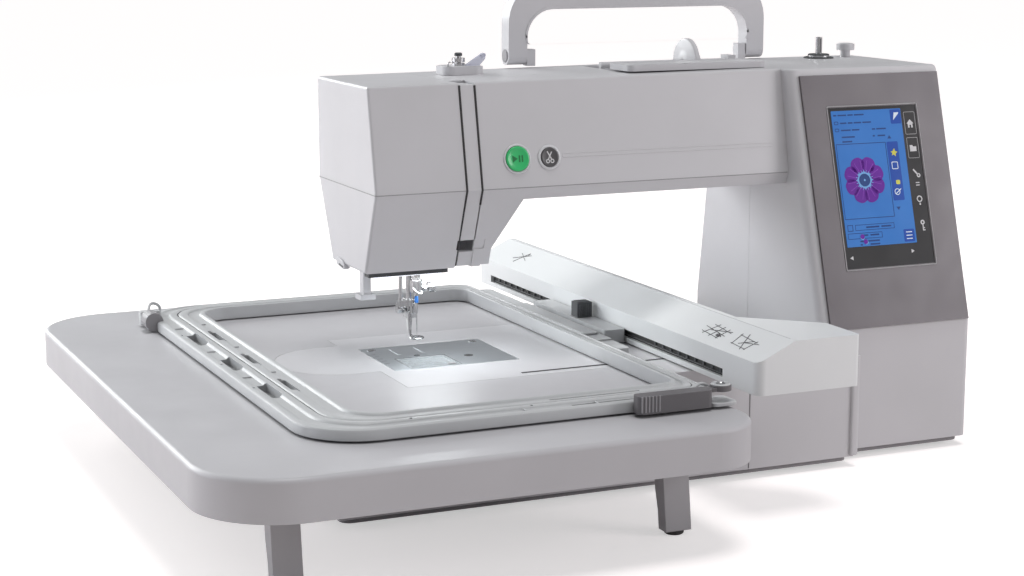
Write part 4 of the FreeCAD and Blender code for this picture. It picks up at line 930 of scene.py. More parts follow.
def makeScreen():
    left, low, right, high = screen["pane"]
    bm = bmesh.new()
    glass = screen["glass"]
    slab(bm, roundRect(left, low, right, high, 0.6, 3), glass - 0.4, glass + 0.12, panelFace)
    finish(bm, "lcdPane", "machine", "lcdBlue")
    x1, y1, x2, y2 = screen["frame"]
    bm = bmesh.new()
    ringSlab(bm, roundRect(x1 - 0.7, y1 - 0.7, x2 + 0.7, y2 + 0.7, 1.6), roundRect(x1, y1, x2, y2, 1.0),
             1.2, 2.75, panelFace)
    finish(bm, "screenFrame", "machine", "frameGrey", bevel=0.2)
    fx, fy = screen["flower"]

    def pictureBox(fill, hollow):
        hollow([(217.8, 84.5), (263.5, 84.5), (263.5, 143.5), (217.8, 143.5)],
               [(218.3, 85.0), (263.0, 85.0), (263.0, 143.0), (218.3, 143.0)])
        hollow([(219, 75.2), (224, 75.2), (224, 80.2), (219, 80.2)],
               [(219.5, 75.7), (223.5, 75.7), (223.5, 79.7), (219.5, 79.7)])
        hollow([(226, 75.5), (262, 75.5), (262, 80.0), (226, 80.0)],
               [(226.4, 75.9), (261.6, 75.9), (261.6, 79.6), (226.4, 79.6)])
        hollow([(218.6, 69.0), (250, 69.0), (250, 73.6), (218.6, 73.6)],
               [(219, 69.4), (249.6, 69.4), (249.6, 73.2), (219, 73.2)])
        for y, parts in ((165.4, ((218.6, 3), (222.6, 8), (231.6, 5), (237.6, 9))),
                         (159.2, ((224, 6), (231, 4.5), (236.5, 7), (244.5, 8))),
                         (153.6, ((224, 9), (234, 7), (252.5, 3), (256.5, 9))),
                         (148.2, ((224, 12), (252.5, 2), (257, 7))),
                         (144.6, ((224, 9),))):
            for x, length in parts:
                fill(roundRect(x, y, x + length, y + 1.1, 0.3, 2))
        for y in (153.1, 158.6):
            hollow(roundRect(218.6, y, 222.4, y + 2.6, 0.5, 2),
                   roundRect(219.1, y + 0.5, 221.9, y + 2.1, 0.3, 2))
        for x, y, length in ((236, 77.1, 12), (250, 77.1, 9), (233, 71.0, 4), (239, 71.0, 8), (229, 66.4, 3),
                             (236, 66.4, 11), (229, 63.8, 2), (238, 63.8, 9)):
            fill(roundRect(x, y, x + length, y + 1.2, 0.3, 2))
        fill([(265.8, 146), (269.4, 146), (267.6, 148.6)])
        fill([(266.2, 92), (269.8, 92), (268, 89.4)])
    lcdPiece("lcdLines", "lcdInk", pictureBox)

    def deepKeys(fill, hollow):
        fill(roundRect(270.8, 157.5, 280.6, 168.8, 0.6, 2))
        fill(roundRect(264.4, 97.0, 274.6, 143.5, 0.8, 3))
        fill(roundRect(269.8, 64.2, 279.6, 74.0, 0.6, 2))
    lcdPiece("lcdKeys", "lcdDeep", deepKeys)

    def yellowMarks(fill, hollow):
        fill([(267.0, 135.5), (269.2, 136.2), (270.6, 138.2), (271.3, 135.9), (273.4, 135.2), (271.6, 133.9),
              (271.4, 131.6), (269.9, 133.2), (267.7, 132.6), (268.6, 134.4)])
        fill(roundRect(268.6, 109.6, 272.4, 113.0, 0.6, 2))
    lcdPiece("lcdYellowMarks", "lcdYellow", yellowMarks, 0.2, 0.27)

    def whiteMarks(fill, hollow):
        hollow(roundRect(266.6, 121.6, 272.4, 127.6, 0.6, 2), roundRect(267.2, 122.2, 271.8, 127.0, 0.4, 2))
        hollow(circle(268.8, 103.8, 2.6, 18), circle(268.8, 103.8, 2.0, 18))
        fill(bar(267.0, 102.0, 272.4, 106.0, 0.7))
        fill([(273.2, 160.4), (278.6, 165.6), (278.6, 166.4), (274.4, 166.4)])
        fill(bar(272.0, 66.5, 277.5, 66.5, 0.7))
        fill(bar(272.0, 69.1, 277.5, 69.1, 0.7))
        fill(bar(272.0, 71.7, 277.5, 71.7, 0.7))
    lcdPiece("lcdWhiteMarks", "lcdWhite", whiteMarks, 0.2, 0.27)

    # a plain eight-petalled flower
    def halo(fill, hollow):
        fill(circle(fx, fy, 14.5, 40))
    lcdPiece("flowerHalo", "lcdPale", halo, 0.12, 0.16)

    def petals(fill, hollow):
        reach = screen["petalReach"]
        for i in range(screen["petals"]):
            angle = 2 * math.pi * (i + 0.5) / screen["petals"]
            cx, cy = fx + reach * math.cos(angle), fy + reach * math.sin(angle)
            outline = []
            for k in range(22):
                a = 2 * math.pi * k / 22
                along = 6.2 * math.cos(a)
                across = 6.4 * math.sin(a) * (1 + 0.12 * math.cos(a)) + 0.25 * math.sin(5 * a)
                outline.append((cx + along * math.cos(angle) - across * math.sin(angle),
                                cy + along * math.sin(angle) + across * math.cos(angle)))
            fill(outline)
    lcdPiece("flowerPetals", "petalPurple", petals, 0.16, 0.22)

    def veins(fill, hollow):
        for i in range(screen["petals"] * 2):
            angle = 2 * math.pi * (i + 0.35) / (screen["petals"] * 2)
            c, s = math.cos(angle), math.sin(angle)
            fill(bar(fx + 8.0 * c, fy + 8.0 * s, fx + 15.6 * c, fy + 15.6 * s, 0.55))
    lcdPiece("flowerVeins", "petalLight", veins, 0.22, 0.25)

    def eye(fill, hollow):
        fill(circle(fx, fy, 5.0, 28))
    lcdPiece("flowerEye", "lcdInk", eye, 0.24, 0.29)

    def eyeRays(fill, hollow):
        for i in range(20):
            angle = 2 * math.pi * i / 20
            c, s = math.cos(angle), math.sin(angle)
            fill(bar(fx + 5.2 * c, fy + 5.2 * s, fx + 8.0 * c, fy + 8.0 * s, 0.4))
        fill([(fx - 1, fy), (fx, fy - 1), (fx + 1, fy), (fx, fy + 1)])
        for x, y in ((231.5, 69.9), (234.5, 66.2)):
            fill(circle(x, y, 1.9, 10))
    lcdPiece("flowerRays", "lcdPale", eyeRays, 0.29, 0.31)

    def spots(fill, hollow):
        for x, y in ((231.5, 70.6), (234.0, 66.6)):
            fill(circle(x, y, 2.1, 6))
    lcdPiece("threadSpots", "petalPurple", spots, 0.31, 0.34)


makeScreen()


def makeSideKeys():
    x = screen["keyColumn"]
    home, folder, tool, hint, key = screen["keyHeights"]
    bm = bmesh.new()

    def fill(outline):
        slab(bm, outline, screen["glass"] - 0.2, screen["glass"] + 0.08, panelFace)

    def hollow(outer, inner):
        ringSlab(bm, outer, inner, screen["glass"] - 0.2, screen["glass"] + 0.08, panelFace)
    fill([(x - 3.2, home), (x + 3.2, home), (x, home + 3.4)])
    fill([(x - 2.2, home - 3.2), (x - 0.7, home - 3.2), (x - 0.7, home - 1.0), (x + 0.7, home - 1.0),
          (x + 0.7, home - 3.2), (x + 2.2, home - 3.2), (x + 2.2, home), (x - 2.2, home)])
    fill([(x - 3.0, folder - 2.6), (x + 3.0, folder - 2.6), (x + 3.0, folder + 1.2), (x + 0.2, folder + 1.2),
          (x - 0.6, folder + 2.4), (x - 3.0, folder + 2.4)])
    fill(bar(x - 2.6, tool + 2.6, x + 1.4, tool - 1.8, 1.3))
    hollow(circle(x + 1.9, tool - 2.3, 1.7, 16), circle(x + 1.9, tool - 2.3, 0.7, 16))
    for y in (tool - 8.0, tool - 10.0):
        fill(bar(x - 1.6, y, x + 1.8, y, 0.7))
    # a ringed dot for hints
    hollow(circle(x, hint + 0.6, 2.6, 20), circle(x, hint + 0.6, 1.7, 20))
    fill(circle(x, hint - 3.6, 0.8, 12))
    fill(bar(x, hint - 2.4, x, hint - 1.0, 0.9))
    hollow(circle(x, key + 2.0, 1.9, 18), circle(x, key + 2.0, 0.9, 18))
    fill(bar(x, key + 0.2, x, key - 4.6, 0.9))
    fill(bar(x, key - 4.2, x + 1.8, key - 4.2, 0.8))
    fill(bar(x, key - 2.4, x + 1.5, key - 2.4, 0.8))
    fill([(221.0, 56.2), (221.0, 53.0), (218.2, 54.6)])
    fill([(275.0, 58.2), (275.0, 55.0), (277.8, 56.6)])
    finish(bm, "sideKeys", "machine", "palePrint")
    bm = bmesh.new()
    for low, high in ((148.5, 166.5), (129.5, 146.0)):
        ringSlab(bm, roundRect(283.4, low, 293.8, high, 1.0),
                 roundRect(283.75, low + 0.35, 293.45, high - 0.35, 0.8),
                 screen["glass"] - 0.2, screen["glass"] + 0.05, panelFace)
    finish(bm, "sideKeyFrames", "machine", "frameGrey")


makeSideKeys()
print("touch screen made")


# the two hoops: each is one profile carried round a rounded frame
hoop = {
    "outerEdge": (-260, 30, -219, 229, (46, 14, 14, 46)),
    "joint": (-240, 22, -203, 214, (34, 12, 12, 34)),
    "opening": (-219, 15, -187, 199, (24, 13, 13, 24)),
    "low": 89.5,
    "steps": 12,
    "outerWindows": (-92, -1, 92),
    "innerWindows": (-84, 5, 94),
}


def roundedLoop(edges, steps):
    left, right, front, back, radii = edges
    points = []
    for x, y, radius, start in ((left, front, radii[0], 180), (right, front, radii[1], 270),
                                (right, back, radii[2], 0), (left, back, radii[3], 90)):
        cx = x + radius if x == left else x - radius
        cy = y + radius if y == front else y - radius
        points += circle(cx, cy, radius, steps, start, start + 90)
    return points


def betweenLoops(one, two, share):
    return [(a[0] + (b[0] - a[0]) * share, a[1] + (b[1] - a[1]) * share) for a, b in zip(one, two)]


def hoopRail(bm, one, two, profile):
    outer = roundedLoop(one, hoop["steps"])
    inner = roundedLoop(two, hoop["steps"])
    loft(bm, [[(x, y, height) for x, y in betweenLoops(outer, inner, share)] for share, height in profile])


def makeHoops():
    low = hoop["low"]
    bm = bmesh.new()
    hoopRail(bm, hoop["outerEdge"], hoop["joint"], [
        (0.02, low), (0.0, low + 0.5), (0.0, 95.6), (0.03, 96.6), (0.10, 97.3), (0.22, 97.5), (0.26, 97.4),
        (0.30, 96.8), (0.36, 96.6), (0.58, 96.6), (0.64, 96.9), (0.68, 98.0), (0.74, 98.5), (0.92, 98.5),
        (0.965, 98.3), (0.985, 97.8), (0.985, low)])
    outer = finish(bm, "outerHoopRail", "hoop_carriage", "hoop_grey", angle=40)
    cutters = []
    for y in hoop["outerWindows"]:
        cutters.append((roundRect(-252.5, y - 19, -245.0, y + 19, 1.6, 3), 92.0, 120, flat))
    for x in (-48,):
        cutters.append((roundRect(x - 30, -214.6, x + 30, -209.6, 1.6, 3), 95.2, 120, flat))
    for y in (-80, 0, 110, 175):
        cutters.append((circle(-256.2, y, 1.1, 14), 94.0, 120, flat))
    for x in (-190, -105, -20):
        cutters.append((circle(x, -206.4, 1.2, 14), 96.5, 120, flat))
    cutters.append((roundRect(-262, 171, -254, 196.5, 0.8, 3), 80, 120, flat))
    carved(outer, cutters)
    bm = bmesh.new()
    hoopRail(bm, hoop["joint"], hoop["opening"], [
        (0.03, 88.9), (0.03, 97.9), (0.06, 98.5), (0.12, 98.8), (0.30, 98.8), (0.36, 98.5), (0.40, 97.5),
        (0.46, 97.3), (0.72, 97.3), (0.78, 97.6), (0.82, 98.9), (0.86, 99.3), (0.95, 99.3), (0.99, 99.0),
        (1.0, 98.4), (1.0, 89.4), (0.97, 88.9)])
    inner = finish(bm, "innerHoopRail", "hoop_carriage", "hoop_grey", angle=40)
    cutters = []
    for y in hoop["innerWindows"]:
        cutters.append((roundRect(-236.0, y - 18, -229.5, y + 18, 1.4, 3), 92.0, 120, flat))
    for x in (-55,):
        cutters.append((roundRect(x - 34, -200.4, x + 34, -197.4, 1.2, 3), 97.0, 120, flat))
    carved(inner, cutters)
    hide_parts("inner_hoop")
    # painted shade: dark sheets on the floors of the windows, and a dark strip in the slim gap between the
    # hoops
    bm = bmesh.new()
    for y in hoop["outerWindows"]:
        slab(bm, roundRect(-252.4, y - 18.9, -245.1, y + 18.9, 1.5, 3), 91.6, 92.15)
    for y in hoop["innerWindows"]:
        slab(bm, roundRect(-235.9, y - 17.9, -229.6, y + 17.9, 1.3, 3), 91.6, 92.15)
    finish(bm, "windowFloors", "hoop_carriage", "windowGrey")
    bm = bmesh.new()
    hoopRail(bm, hoop["joint"], hoop["opening"], [(-0.02, 90.5), (-0.02, 97.0), (0.035, 97.0), (0.035, 90.5)])
    finish(bm, "hoopGap", "hoop_carriage", "gapDark")
    return outer


outerHoopRail = makeHoops()

# ribs stand in the channels of both hoops
hoopRibs = {"height": 1.3, "thick": 1.4}


def makeHoopRibs():
    tall = hoopRibs["height"]
    half = hoopRibs["thick"] / 2

    def across(bm):
        slab(bm, roundRect(-half, -2.6, half, 2.6, 0.3, 2), 0, tall)

    def along(bm):
        slab(bm, roundRect(-3.2, -half, 3.2, half, 0.3, 2), 0, tall)
    repeated("hoopRibsSide", along, [
        (3, (-251.0, -46, 96.3), (0, 92, 0), (0, 0, 0)),
        (3, (-231.2, -40, 97.0), (0, 92, 0), (0, 0, 0)),
    ], "hoop_carriage", "hoop_grey", bevel=0.15)
    repeated("hoopRibsFront", across, [
        (3, (-112, -211.8, 96.3), (52, 0, 0), (0, 0, 0)),
        (4, (-170, 222.2, 96.3), (52, 0, 0), (0, 0, 0)),
    ], "hoop_carriage", "hoop_grey", bevel=0.15)


makeHoopRibs()

# lugs that the clamp, the screw and the carriage hold: kept to the CAD outline
def makeHoopLugs():
    bm = bmesh.new()
    # carriage plate along the right rail, with two low steps
    slab(bm, roundRect(27, -60, 44, 206, 4), 90.5, 95.4)
    slab(bm, roundRect(28, -30, 44, 130, 3), 89.5, 96.6)
    slab(bm, roundRect(28, -12, 41, 112, 3), 96.6, 98.4)
    # lever pivot at the front right corner
    slab(bm, roundRect(18.2, -230.8, 37.8, -210.2, 4), 89.85, 92.5)
    # screw block at the back left
    slab(bm, roundRect(-266.8, 196.6, -250.4, 205.6, 1.5), 89.8, 101.0)
    finish(bm, "hoopLugs", "hoop_carriage", "hoop_grey", bevel=0.5)


makeHoopLugs()
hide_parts("outer_hoop")
print("hoops made")


# head: thread slots, crease, arrows, cutter hook, lamp and clear lever
head = {"leftSlot": -84.6, "rightSlot": -72.6, "slotWire": 0.85, "creaseRadius": 0.3}


def makeHeadDetails():
    left, right = head["leftSlot"], head["rightSlot"]
    # the thread slots are dark wires: painted shade in the openings
    wire("threadSlots", [
        [(left, -35.2, 294.5), (left, -49.9, 220), (left, -34.0, 182), (left, -25.4, 161.5)],
        [(right, -35.2, 294.5), (right, -49.9, 220), (right, -45.4, 209)],
    ], head["slotWire"], "machine", "gapDark")
    wire("headCrease", [
        [(-155.05, 74.6, 220), (-155.05, -49.6, 220)],
        [(-154.6, -50.05, 220), (-85.6, -50.05, 220)],
        [(-71.6, -50.05, 220), (184, -50.05, 220)],
    ], head["creaseRadius"], "machine", "seamShade")
    # lower end of the strip: leaves only a narrow L for the thread
    lower = axes((0, -50, 220), (1, 0, 0), (0, -25, 60))
    bm = bmesh.new()
    slab(bm, [(-83.4, -51.8), (-72.4, -51.8), (-72.4, -41.0), (-57.5, -41.0), (-57.5, -64.0), (-83.4, -64.0)],
         -2.6, 0.04, lower)
    finish(bm, "stripFoot", "machine", "pale_shell", bevel=0.3)
    # threading arrows, drawn as thin printed strokes
    bm = bmesh.new()
    face = axes((-78.4, -37.6, 190), (1, 0, 0), (0, -0.385, 0.923))
    for i in range(9):
        angle = math.radians(180 + i * 20)
        after = angle + math.radians(20)
        ends = [2.4 * turn(corner) for corner in (angle, after) for turn in (math.cos, math.sin)]
        slab(bm, bar(*ends, 0.4), -0.2, 0.15, face)
    slab(bm, bar(2.4, 0, 2.4, 9, 0.4), -0.2, 0.15, face)
    slab(bm, bar(-2.4, 0, -2.4, 3, 0.4), -0.2, 0.15, face)
    slab(bm, [(-3.6, 3), (-1.2, 3), (-2.4, 5.6)], -0.2, 0.15, face)
    low = axes((-90, -29.2, 170), (1, 0, 0), (0, -0.385, 0.923))
    slab(bm, bar(0, -4, 0, 8, 0.4), -0.2, 0.15, low)
    slab(bm, [(-1.2, -4), (1.2, -4), (0, -7)], -0.2, 0.15, low)
    finish(bm, "threadArrows", "machine", "printInk")
    # small thread cutter moulded at the lower back of the left side
    bm = bmesh.new()
    where = axes((-155, 26, 156), (0, -1, 0), (0, 0, 1))
    slab(bm, [(-8, 2.6), (7, 0.6), (10, 1.6), (10, 4.4), (5, 7.4), (-8, 8.2)], -3.5, 1.4, where)
    finish(bm, "threadCutter", "machine", "pale_shell", bevel=0.8)
    bm = bmesh.new()
    slab(bm, [(-1, 3.0), (8, 1.9), (8, 3.3), (-1, 4.4)], -3.0, 1.75, where)
    finish(bm, "cutterBlade", "machine", "dark_grey", bevel=0.3)
    # lens under the lamp bar
    bm = bmesh.new()
    slab(bm, roundRect(-146, -19, -92, -12, 1.2, 4), 155.4, 156.4)
    finish(bm, "lampLens", "machine", "lampWhite", bevel=0.3)
    # clear lever and cap of the thread guide
    bm = bmesh.new()
    where = axes((0, 33, 0), (1, 0, 0), (0, 0, 1))
    slab(bm, [(-50, 300.5), (-42.5, 300.5), (-35.2, 308.2), (-34.6, 312.2), (-37.6, 312.8), (-51, 304.4)],
         -1.1, 1.1, where)
    pivot = where @ Matrix.Translation((-36.8, 311.0, 0))
    turned(bm, [(0.01, -1.8), (1.9, -1.8), (1.9, 1.8), (0.01, 1.8)], pivot, 20)
    finish(bm, "guideLever", "machine", "leverClear", bevel=0.35)


makeHeadDetails()

# needle clamp screw, blue needle shank, presser screw, thread hook and foot
needleArea = {"x": -101.0, "y": 11.0}


def makeNeedleDetails():
    x, y = needleArea["x"], needleArea["y"]
    bm = bmesh.new()
    turned(bm, [(0.01, 128.6), (1.35, 128.6), (1.55, 129.2), (1.55, 133.4), (1.2, 134), (0.01, 134)],
           Matrix.Translation((x, y, 0)), 24)
    finish(bm, "needleShank", "needle_carrier", "needleBlue")
    bm = bmesh.new()
    where = axes((-95.2, y, 139.6), (0, 1, 0), (0, 0, 1))
    screw = [(0.01, -1), (1.5, -1), (1.5, 4.2), (3.2, 4.4), (3.4, 4.8), (3.4, 8.6), (3.0, 9.2), (0.01, 9.2)]
    turned(bm, screw, where, 30)
    turned(bm, [(0.01, 0), (2.6, 0), (2.6, 1.4), (0.01, 1.4)], where, 6)
    finish(bm, "clampScrew", "needle_carrier", "steel", angle=30)

    def flute(part):
        slab(part, bar(-0.25, 0, 0.25, 0, 0.5), 4.9, 8.5)
    repeated("clampScrewFlutes", flute, [(22, (-95.2, y, 139.6), 3.45, (90, 0, 90))],
             "needle_carrier", "steel", round=True)
    wire("needleThreadHook", [[(x - 4.4, y - 4.6, 141), (x - 3.2, y - 6.4, 138.4), (x, y - 6.9, 136.4),
                               (x + 2.6, y - 6.2, 136.9), (x + 2.2, y - 5.2, 138.2)]],
         0.42, "needle_carrier", "steel", smooth=True)
    # foot: clamp, cranked leg and ring, with its screw
    bm = bmesh.new()
    slab(bm, roundRect(-105.2, 19.6, -96.8, 30.0, 1.2, 4), 115.0, 129.8)
    slab(bm, roundRect(-104.2, 16.0, -97.8, 20.4, 1.0, 4), 119.0, 127.5)
    finish(bm, "footClamp", "presser", "steel", bevel=0.5)
    shape = [((-105.8, 16.6), (-102.2, 21.4), 121.0), ((-105.9, 16.2), (-102.4, 20.6), 114.0),
             ((-105.9, 16.0), (-103.0, 19.2), 108.0), ((-105.2, 16.0), (-102.6, 18.4), 103.6),
             ((-104.6, 14.6), (-101.6, 17.6), 101.2)]
    bm = bmesh.new()
    loft(bm, [[(a[0], a[1], z), (b[0], a[1], z), (b[0], b[1], z), (a[0], b[1], z)] for a, b, z in shape],
         closed=False)
    finish(bm, "footLeg", "presser", "steel", bevel=0.7)
    bm = bmesh.new()
    turnedRing(bm, [(2.6, 101.0), (4.9, 101.0), (5.6, 101.4), (5.7, 102.0), (5.2, 102.5), (3.2, 102.5),
                    (2.6, 102.1)], Matrix.Translation((x, y, 0)), 40)
    foot = finish(bm, "footRing", "presser", "steel", angle=50)
    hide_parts("embroidery_foot")
    bm = bmesh.new()
    where = axes((-105.0, 25, 122.5), (0, -1, 0), (0, 0, 1))
    screw = [(0.01, -1), (1.7, -1), (1.7, 1.6), (3.6, 1.8), (3.8, 2.2), (3.8, 6.2), (3.4, 6.8), (0.01, 6.8)]
    turned(bm, screw, where, 30)
    finish(bm, "footScrew", "presser", "steel")


makeNeedleDetails()

# needle plate: screws, tapped hole, marks, slide catch, bobbin and thread
plate = {
    "top": 88.0,
    "screws": ((-127, 40.5, 20), (-43, 40.5, -50)),
    "ticks": (-6, 2, 10, 18, 26),
    "cover": (-121, -29.2, -81, 6.0),
    "bobbin": (-101, -9),
}


def makePlateDetails():
    top = plate["top"]
    rows = [(1, (x, y, top), (0, 0, 0), (0, 0, turn)) for x, y, turn in plate["screws"]]
    repeated("plateScrews", slotScrew(3.2, 0.55), rows, "machine", "steel")
    # a dark disc in the tapped hole, dark lines round the bobbin cover and a dark ring round the needle hole
    # are painted shade; the ticks are engraved marks in the same colour
    bm = bmesh.new()
    slab(bm, circle(-65, -4, 3.6, 26), top - 0.1, top + 0.06)
    for y in plate["ticks"]:
        slab(bm, bar(-133, y, -129, y, 0.35), top - 0.1, top + 0.05)
    left, front, right, back = plate["cover"]
    for line in ((left, front, right, front), (left, back, right, back), (left, front, left, back),
                 (right, front, right, back)):
        slab(bm, bar(*line, 0.5), top - 0.1, top + 0.05)
    x, y = needleArea["x"], needleArea["y"]
    ringSlab(bm, circle(x, y, 2.4, 22), circle(x, y, 1.4, 22), top - 0.1, top + 0.07)
    finish(bm, "plateMarks", "machine", "gapDark")
    bm = bmesh.new()
    eyelet = [(2.5, top - 0.2), (4.2, top - 0.2), (4.2, top + 0.12), (3.9, top + 0.25), (2.5, top + 0.1)]
    turnedRing(bm, eyelet, Matrix.Translation((x, y, 0)), 32)
    for slotX in (-112.0, -92.0):
        slab(bm, roundRect(slotX - 1.2, 18, slotX + 1.2, 40, 1.1, 4), top - 0.1, top + 0.12)
    finish(bm, "plateEyelet", "machine", "plate_steel", bevel=0.05)
    # thread wound on the bobbin
    bm = bmesh.new()
    turnedRing(bm, [(4.7, 72.2), (8.6, 72.2), (8.9, 73), (8.8, 80), (8.5, 81.2), (4.7, 81.2)],
               Matrix.Translation((*plate["bobbin"], 0)), 48)
    finish(bm, "bobbinThread", "machine", "whiteThread")
    bm = bmesh.new()
    slab(bm, roundRect(-90, -27.0, -84, -22.5, 1.0, 3), top - 0.4, top + 0.35)
    finish(bm, "coverCatch", "machine", "mid_grey", bevel=0.2)


makePlateDetails()
print("head, needle and plate details made")

# bed: the dark slot that the neck of the arm runs in, and the seam of the front block
def makeBedDetails():
    bm = bmesh.new()
    slab(bm, roundRect(-52.8, -77.0, 112.4, -73.0, 1.6, 4), 86.0, 87.95)
    finish(bm, "slitShade", "machine", "gapDark")
    wire("blockSeam", [[(113.0, -120.05, z) for z in (9, 87)]], 0.45, "machine", "seamShade")
    # bright moulded rib down the right edge of the front block
    bm = bmesh.new()
    slab(bm, roundRect(201.8, -122.4, 208.4, -117.0, 1.6, 4), 9.0, 87.4)
    finish(bm, "blockRib", "machine", "pale_shell", bevel=0.8)
    wire("columnSeams", [[(324.2, 7.15, 9), (324.2, 7.15, 298)]], 0.35, "machine", "seamShade")


makeBedDetails()

# carriage housing: racks and rails in the slot, line marks on its sloping top
housing = {"left": 63.0, "front": -165.0, "back": 249.0, "railInset": 2.6, "ridgeX": 93.0, "ridgeZ": 126.06}


def makeHousingDetails():
    left, front, back = housing["left"], housing["front"], housing["back"]
    rail = left + housing["railInset"]
    # painted shade: a dark sheet at the back of the slot
    bm = bmesh.new()
    slab(bm, [(left + 3.2, front + 1), (left + 4.6, front + 1), (left + 4.6, back - 1),
              (left + 3.2, back - 1)], 91.6, 100.4)
    finish(bm, "slotBack", "carriage", "gapDark")

    def tooth(part):
        slab(part, roundRect(-0.5, -1.4, 0.7, 1.4, 0.3, 2), -1.3, 1.3)
    repeated("slotTeeth", tooth, [
        (9, (rail, -158, 96.6), (0, 12.4, 0), (0, 0, 0)),
        (11, (rail, 112, 96.6), (0, 12.4, 0), (0, 0, 0)),
    ], "carriage", "dark_grey")
    wire("slotRails", [[(rail, front + 2, z), (rail, back - 2, z)] for z in (94.4, 98.4)], 0.5, "carriage",
         "dark_grey")
    wire("housingRidge", [[(housing["ridgeX"], y, housing["ridgeZ"]) for y in (-206, 270)]], 0.22, "carriage",
         "pale_shell")
    # printed diagrams: a hoop outline with arrows, two of them and a small one at the back
    slope = axes((78, -150, 119.0), (0, -1, 0), (30, 0, 14))
    bm = bmesh.new()
    strokes = [(-34, -6, -8, -9, 0.3), (-36, 1, -4, -4, 0.28), (-30, 6, -2, 2, 0.28), (-30, -9, -24, 8, 0.28),
               (-20, -10, -16, 7, 0.28), (-10, -10, -8, 6, 0.28), (-26, -2, -2, 4, 0.28),
               (-15, -2, -7, -6, 0.8), (10, -8, 32, -10, 0.28), (8, 5, 34, 2, 0.28),
               (12, -9, 9, 7, 0.28), (31, -11, 33, 4, 0.28), (16, 9, 27, -12, 0.4),
               (22, -3, 38, 1, 0.28), (18, -6, 30, 3, 0.28)]
    for x1, y1, x2, y2, width in strokes:
        slab(bm, bar(x1, y1 * 0.8, x2, y2 * 0.8, width), -0.3, 0.32, slope)
    slab(bm, [(-14, -5.2), (-9, -5.9), (-9, -3.9), (-14, -3.2)], -0.3, 0.33, slope)
    far = axes((78, 214, 119.0), (0, -1, 0), (30, 0, 14))
    for x1, y1, x2, y2, width in ((-12, -4, 8, 6, 0.45), (-10, 5, 10, -2, 0.4), (-4, -8, 2, 8, 0.4),
                                  (2, 8, 4, 4, 0.4)):
        slab(bm, bar(x1, y1, x2, y2, width), -0.3, 0.32, far)
    finish(bm, "housingMarks", "carriage", "printInk")


makeHousingDetails()

# hoop hardware: lever ribs and loops, tension screw flutes, knob face
def makeHoopHardware():
    def rib(part):
        slab(part, roundRect(-0.6, -0.5, 0.6, 0.5, 0.3, 2), 91.8, 102.6)
    repeated("leverRibs", rib, [(6, (-36.2, -232.0, 0), (2.6, 0, 0), (0, 0, 0))], "hoop_latch", "mid_grey",
             bevel=0.1)
    bm = bmesh.new()
    turnedRing(bm, [(3.3, 103.3), (6.6, 103.3), (6.9, 103.8), (6.4, 104.4), (3.8, 104.4), (3.3, 104.0)],
               Matrix.Translation((28, -223, 0)), 32)
    finish(bm, "leverLoop", "hoop_latch", "hoop_grey", angle=50)
    bm = bmesh.new()
    turned(bm, [(0.01, 102.0), (2.6, 102.0), (2.6, 105.0), (2.0, 105.6), (0.01, 105.6)],
           Matrix.Translation((28, -223, 0)), 28)
    finish(bm, "leverPin", "hoop_carriage", "steel")
    wire("hingeLoops", [[(8, -217, 98), (14, -214.5, 102.8), (21, -213.5, 103.2), (25, -214.5, 99.2)],
                        [(12, -211, 98), (17, -209.5, 101.6), (23, -209.0, 101.8), (27, -210, 98.6)]],
         1.15, "hoop_carriage", "hoop_grey", smooth=True)

    def flute(part):
        slab(part, roundRect(-0.7, -0.6, 0.7, 0.6, 0.4, 2), -6.6, 6.6)
    repeated("screwFlutes", flute, [(14, (-262, 180, 97), 6.7, (90, 0, 0))], "tension_screw", "mid_grey",
             round=True, bevel=0.1)
    wire("screwLoop", [[(-262, 190, 101), (-261, 196, 106.4), (-255, 202, 107.2), (-249, 203, 103.2),
                        (-250, 203, 99.5)]], 1.2, "hoop_carriage", "hoop_grey", smooth=True)
    bm = bmesh.new()
    slab(bm, roundRect(47.4, 37.9, 58.6, 48.1, 1.2, 4), 111.6, 112.5)
    finish(bm, "knobTop", "hoop_knob", "dark_grey", bevel=0.35)

    def groove(part):
        slab(part, roundRect(-0.35, -0.4, 0.35, 0.4, 0.2, 2), 101.5, 110.5)
    repeated("knobRibs", groove, [(6, (48.2, 36.9, 0), (1.95, 0, 0), (0, 0, 0)),
                                  (6, (48.2, 49.1, 0), (1.95, 0, 0), (0, 0, 0))], "hoop_knob", "dark_grey")


makeHoopHardware()

# folding legs: a channel with a rubber foot
legs = {
    "width": 20.0, "depth": 13.4, "wall": 2.6, "high": 72.0, "low": 3.0, "foot": 6.8,
    "front": 211.5, "leanOut": 9.0, "leanHeight": 68.0, "toeShare": 0.82, "footY": 213.5,
    "pivotY": 205, "pivotZ": 68, "rightX": -1.0, "leftX": -278.0,
}


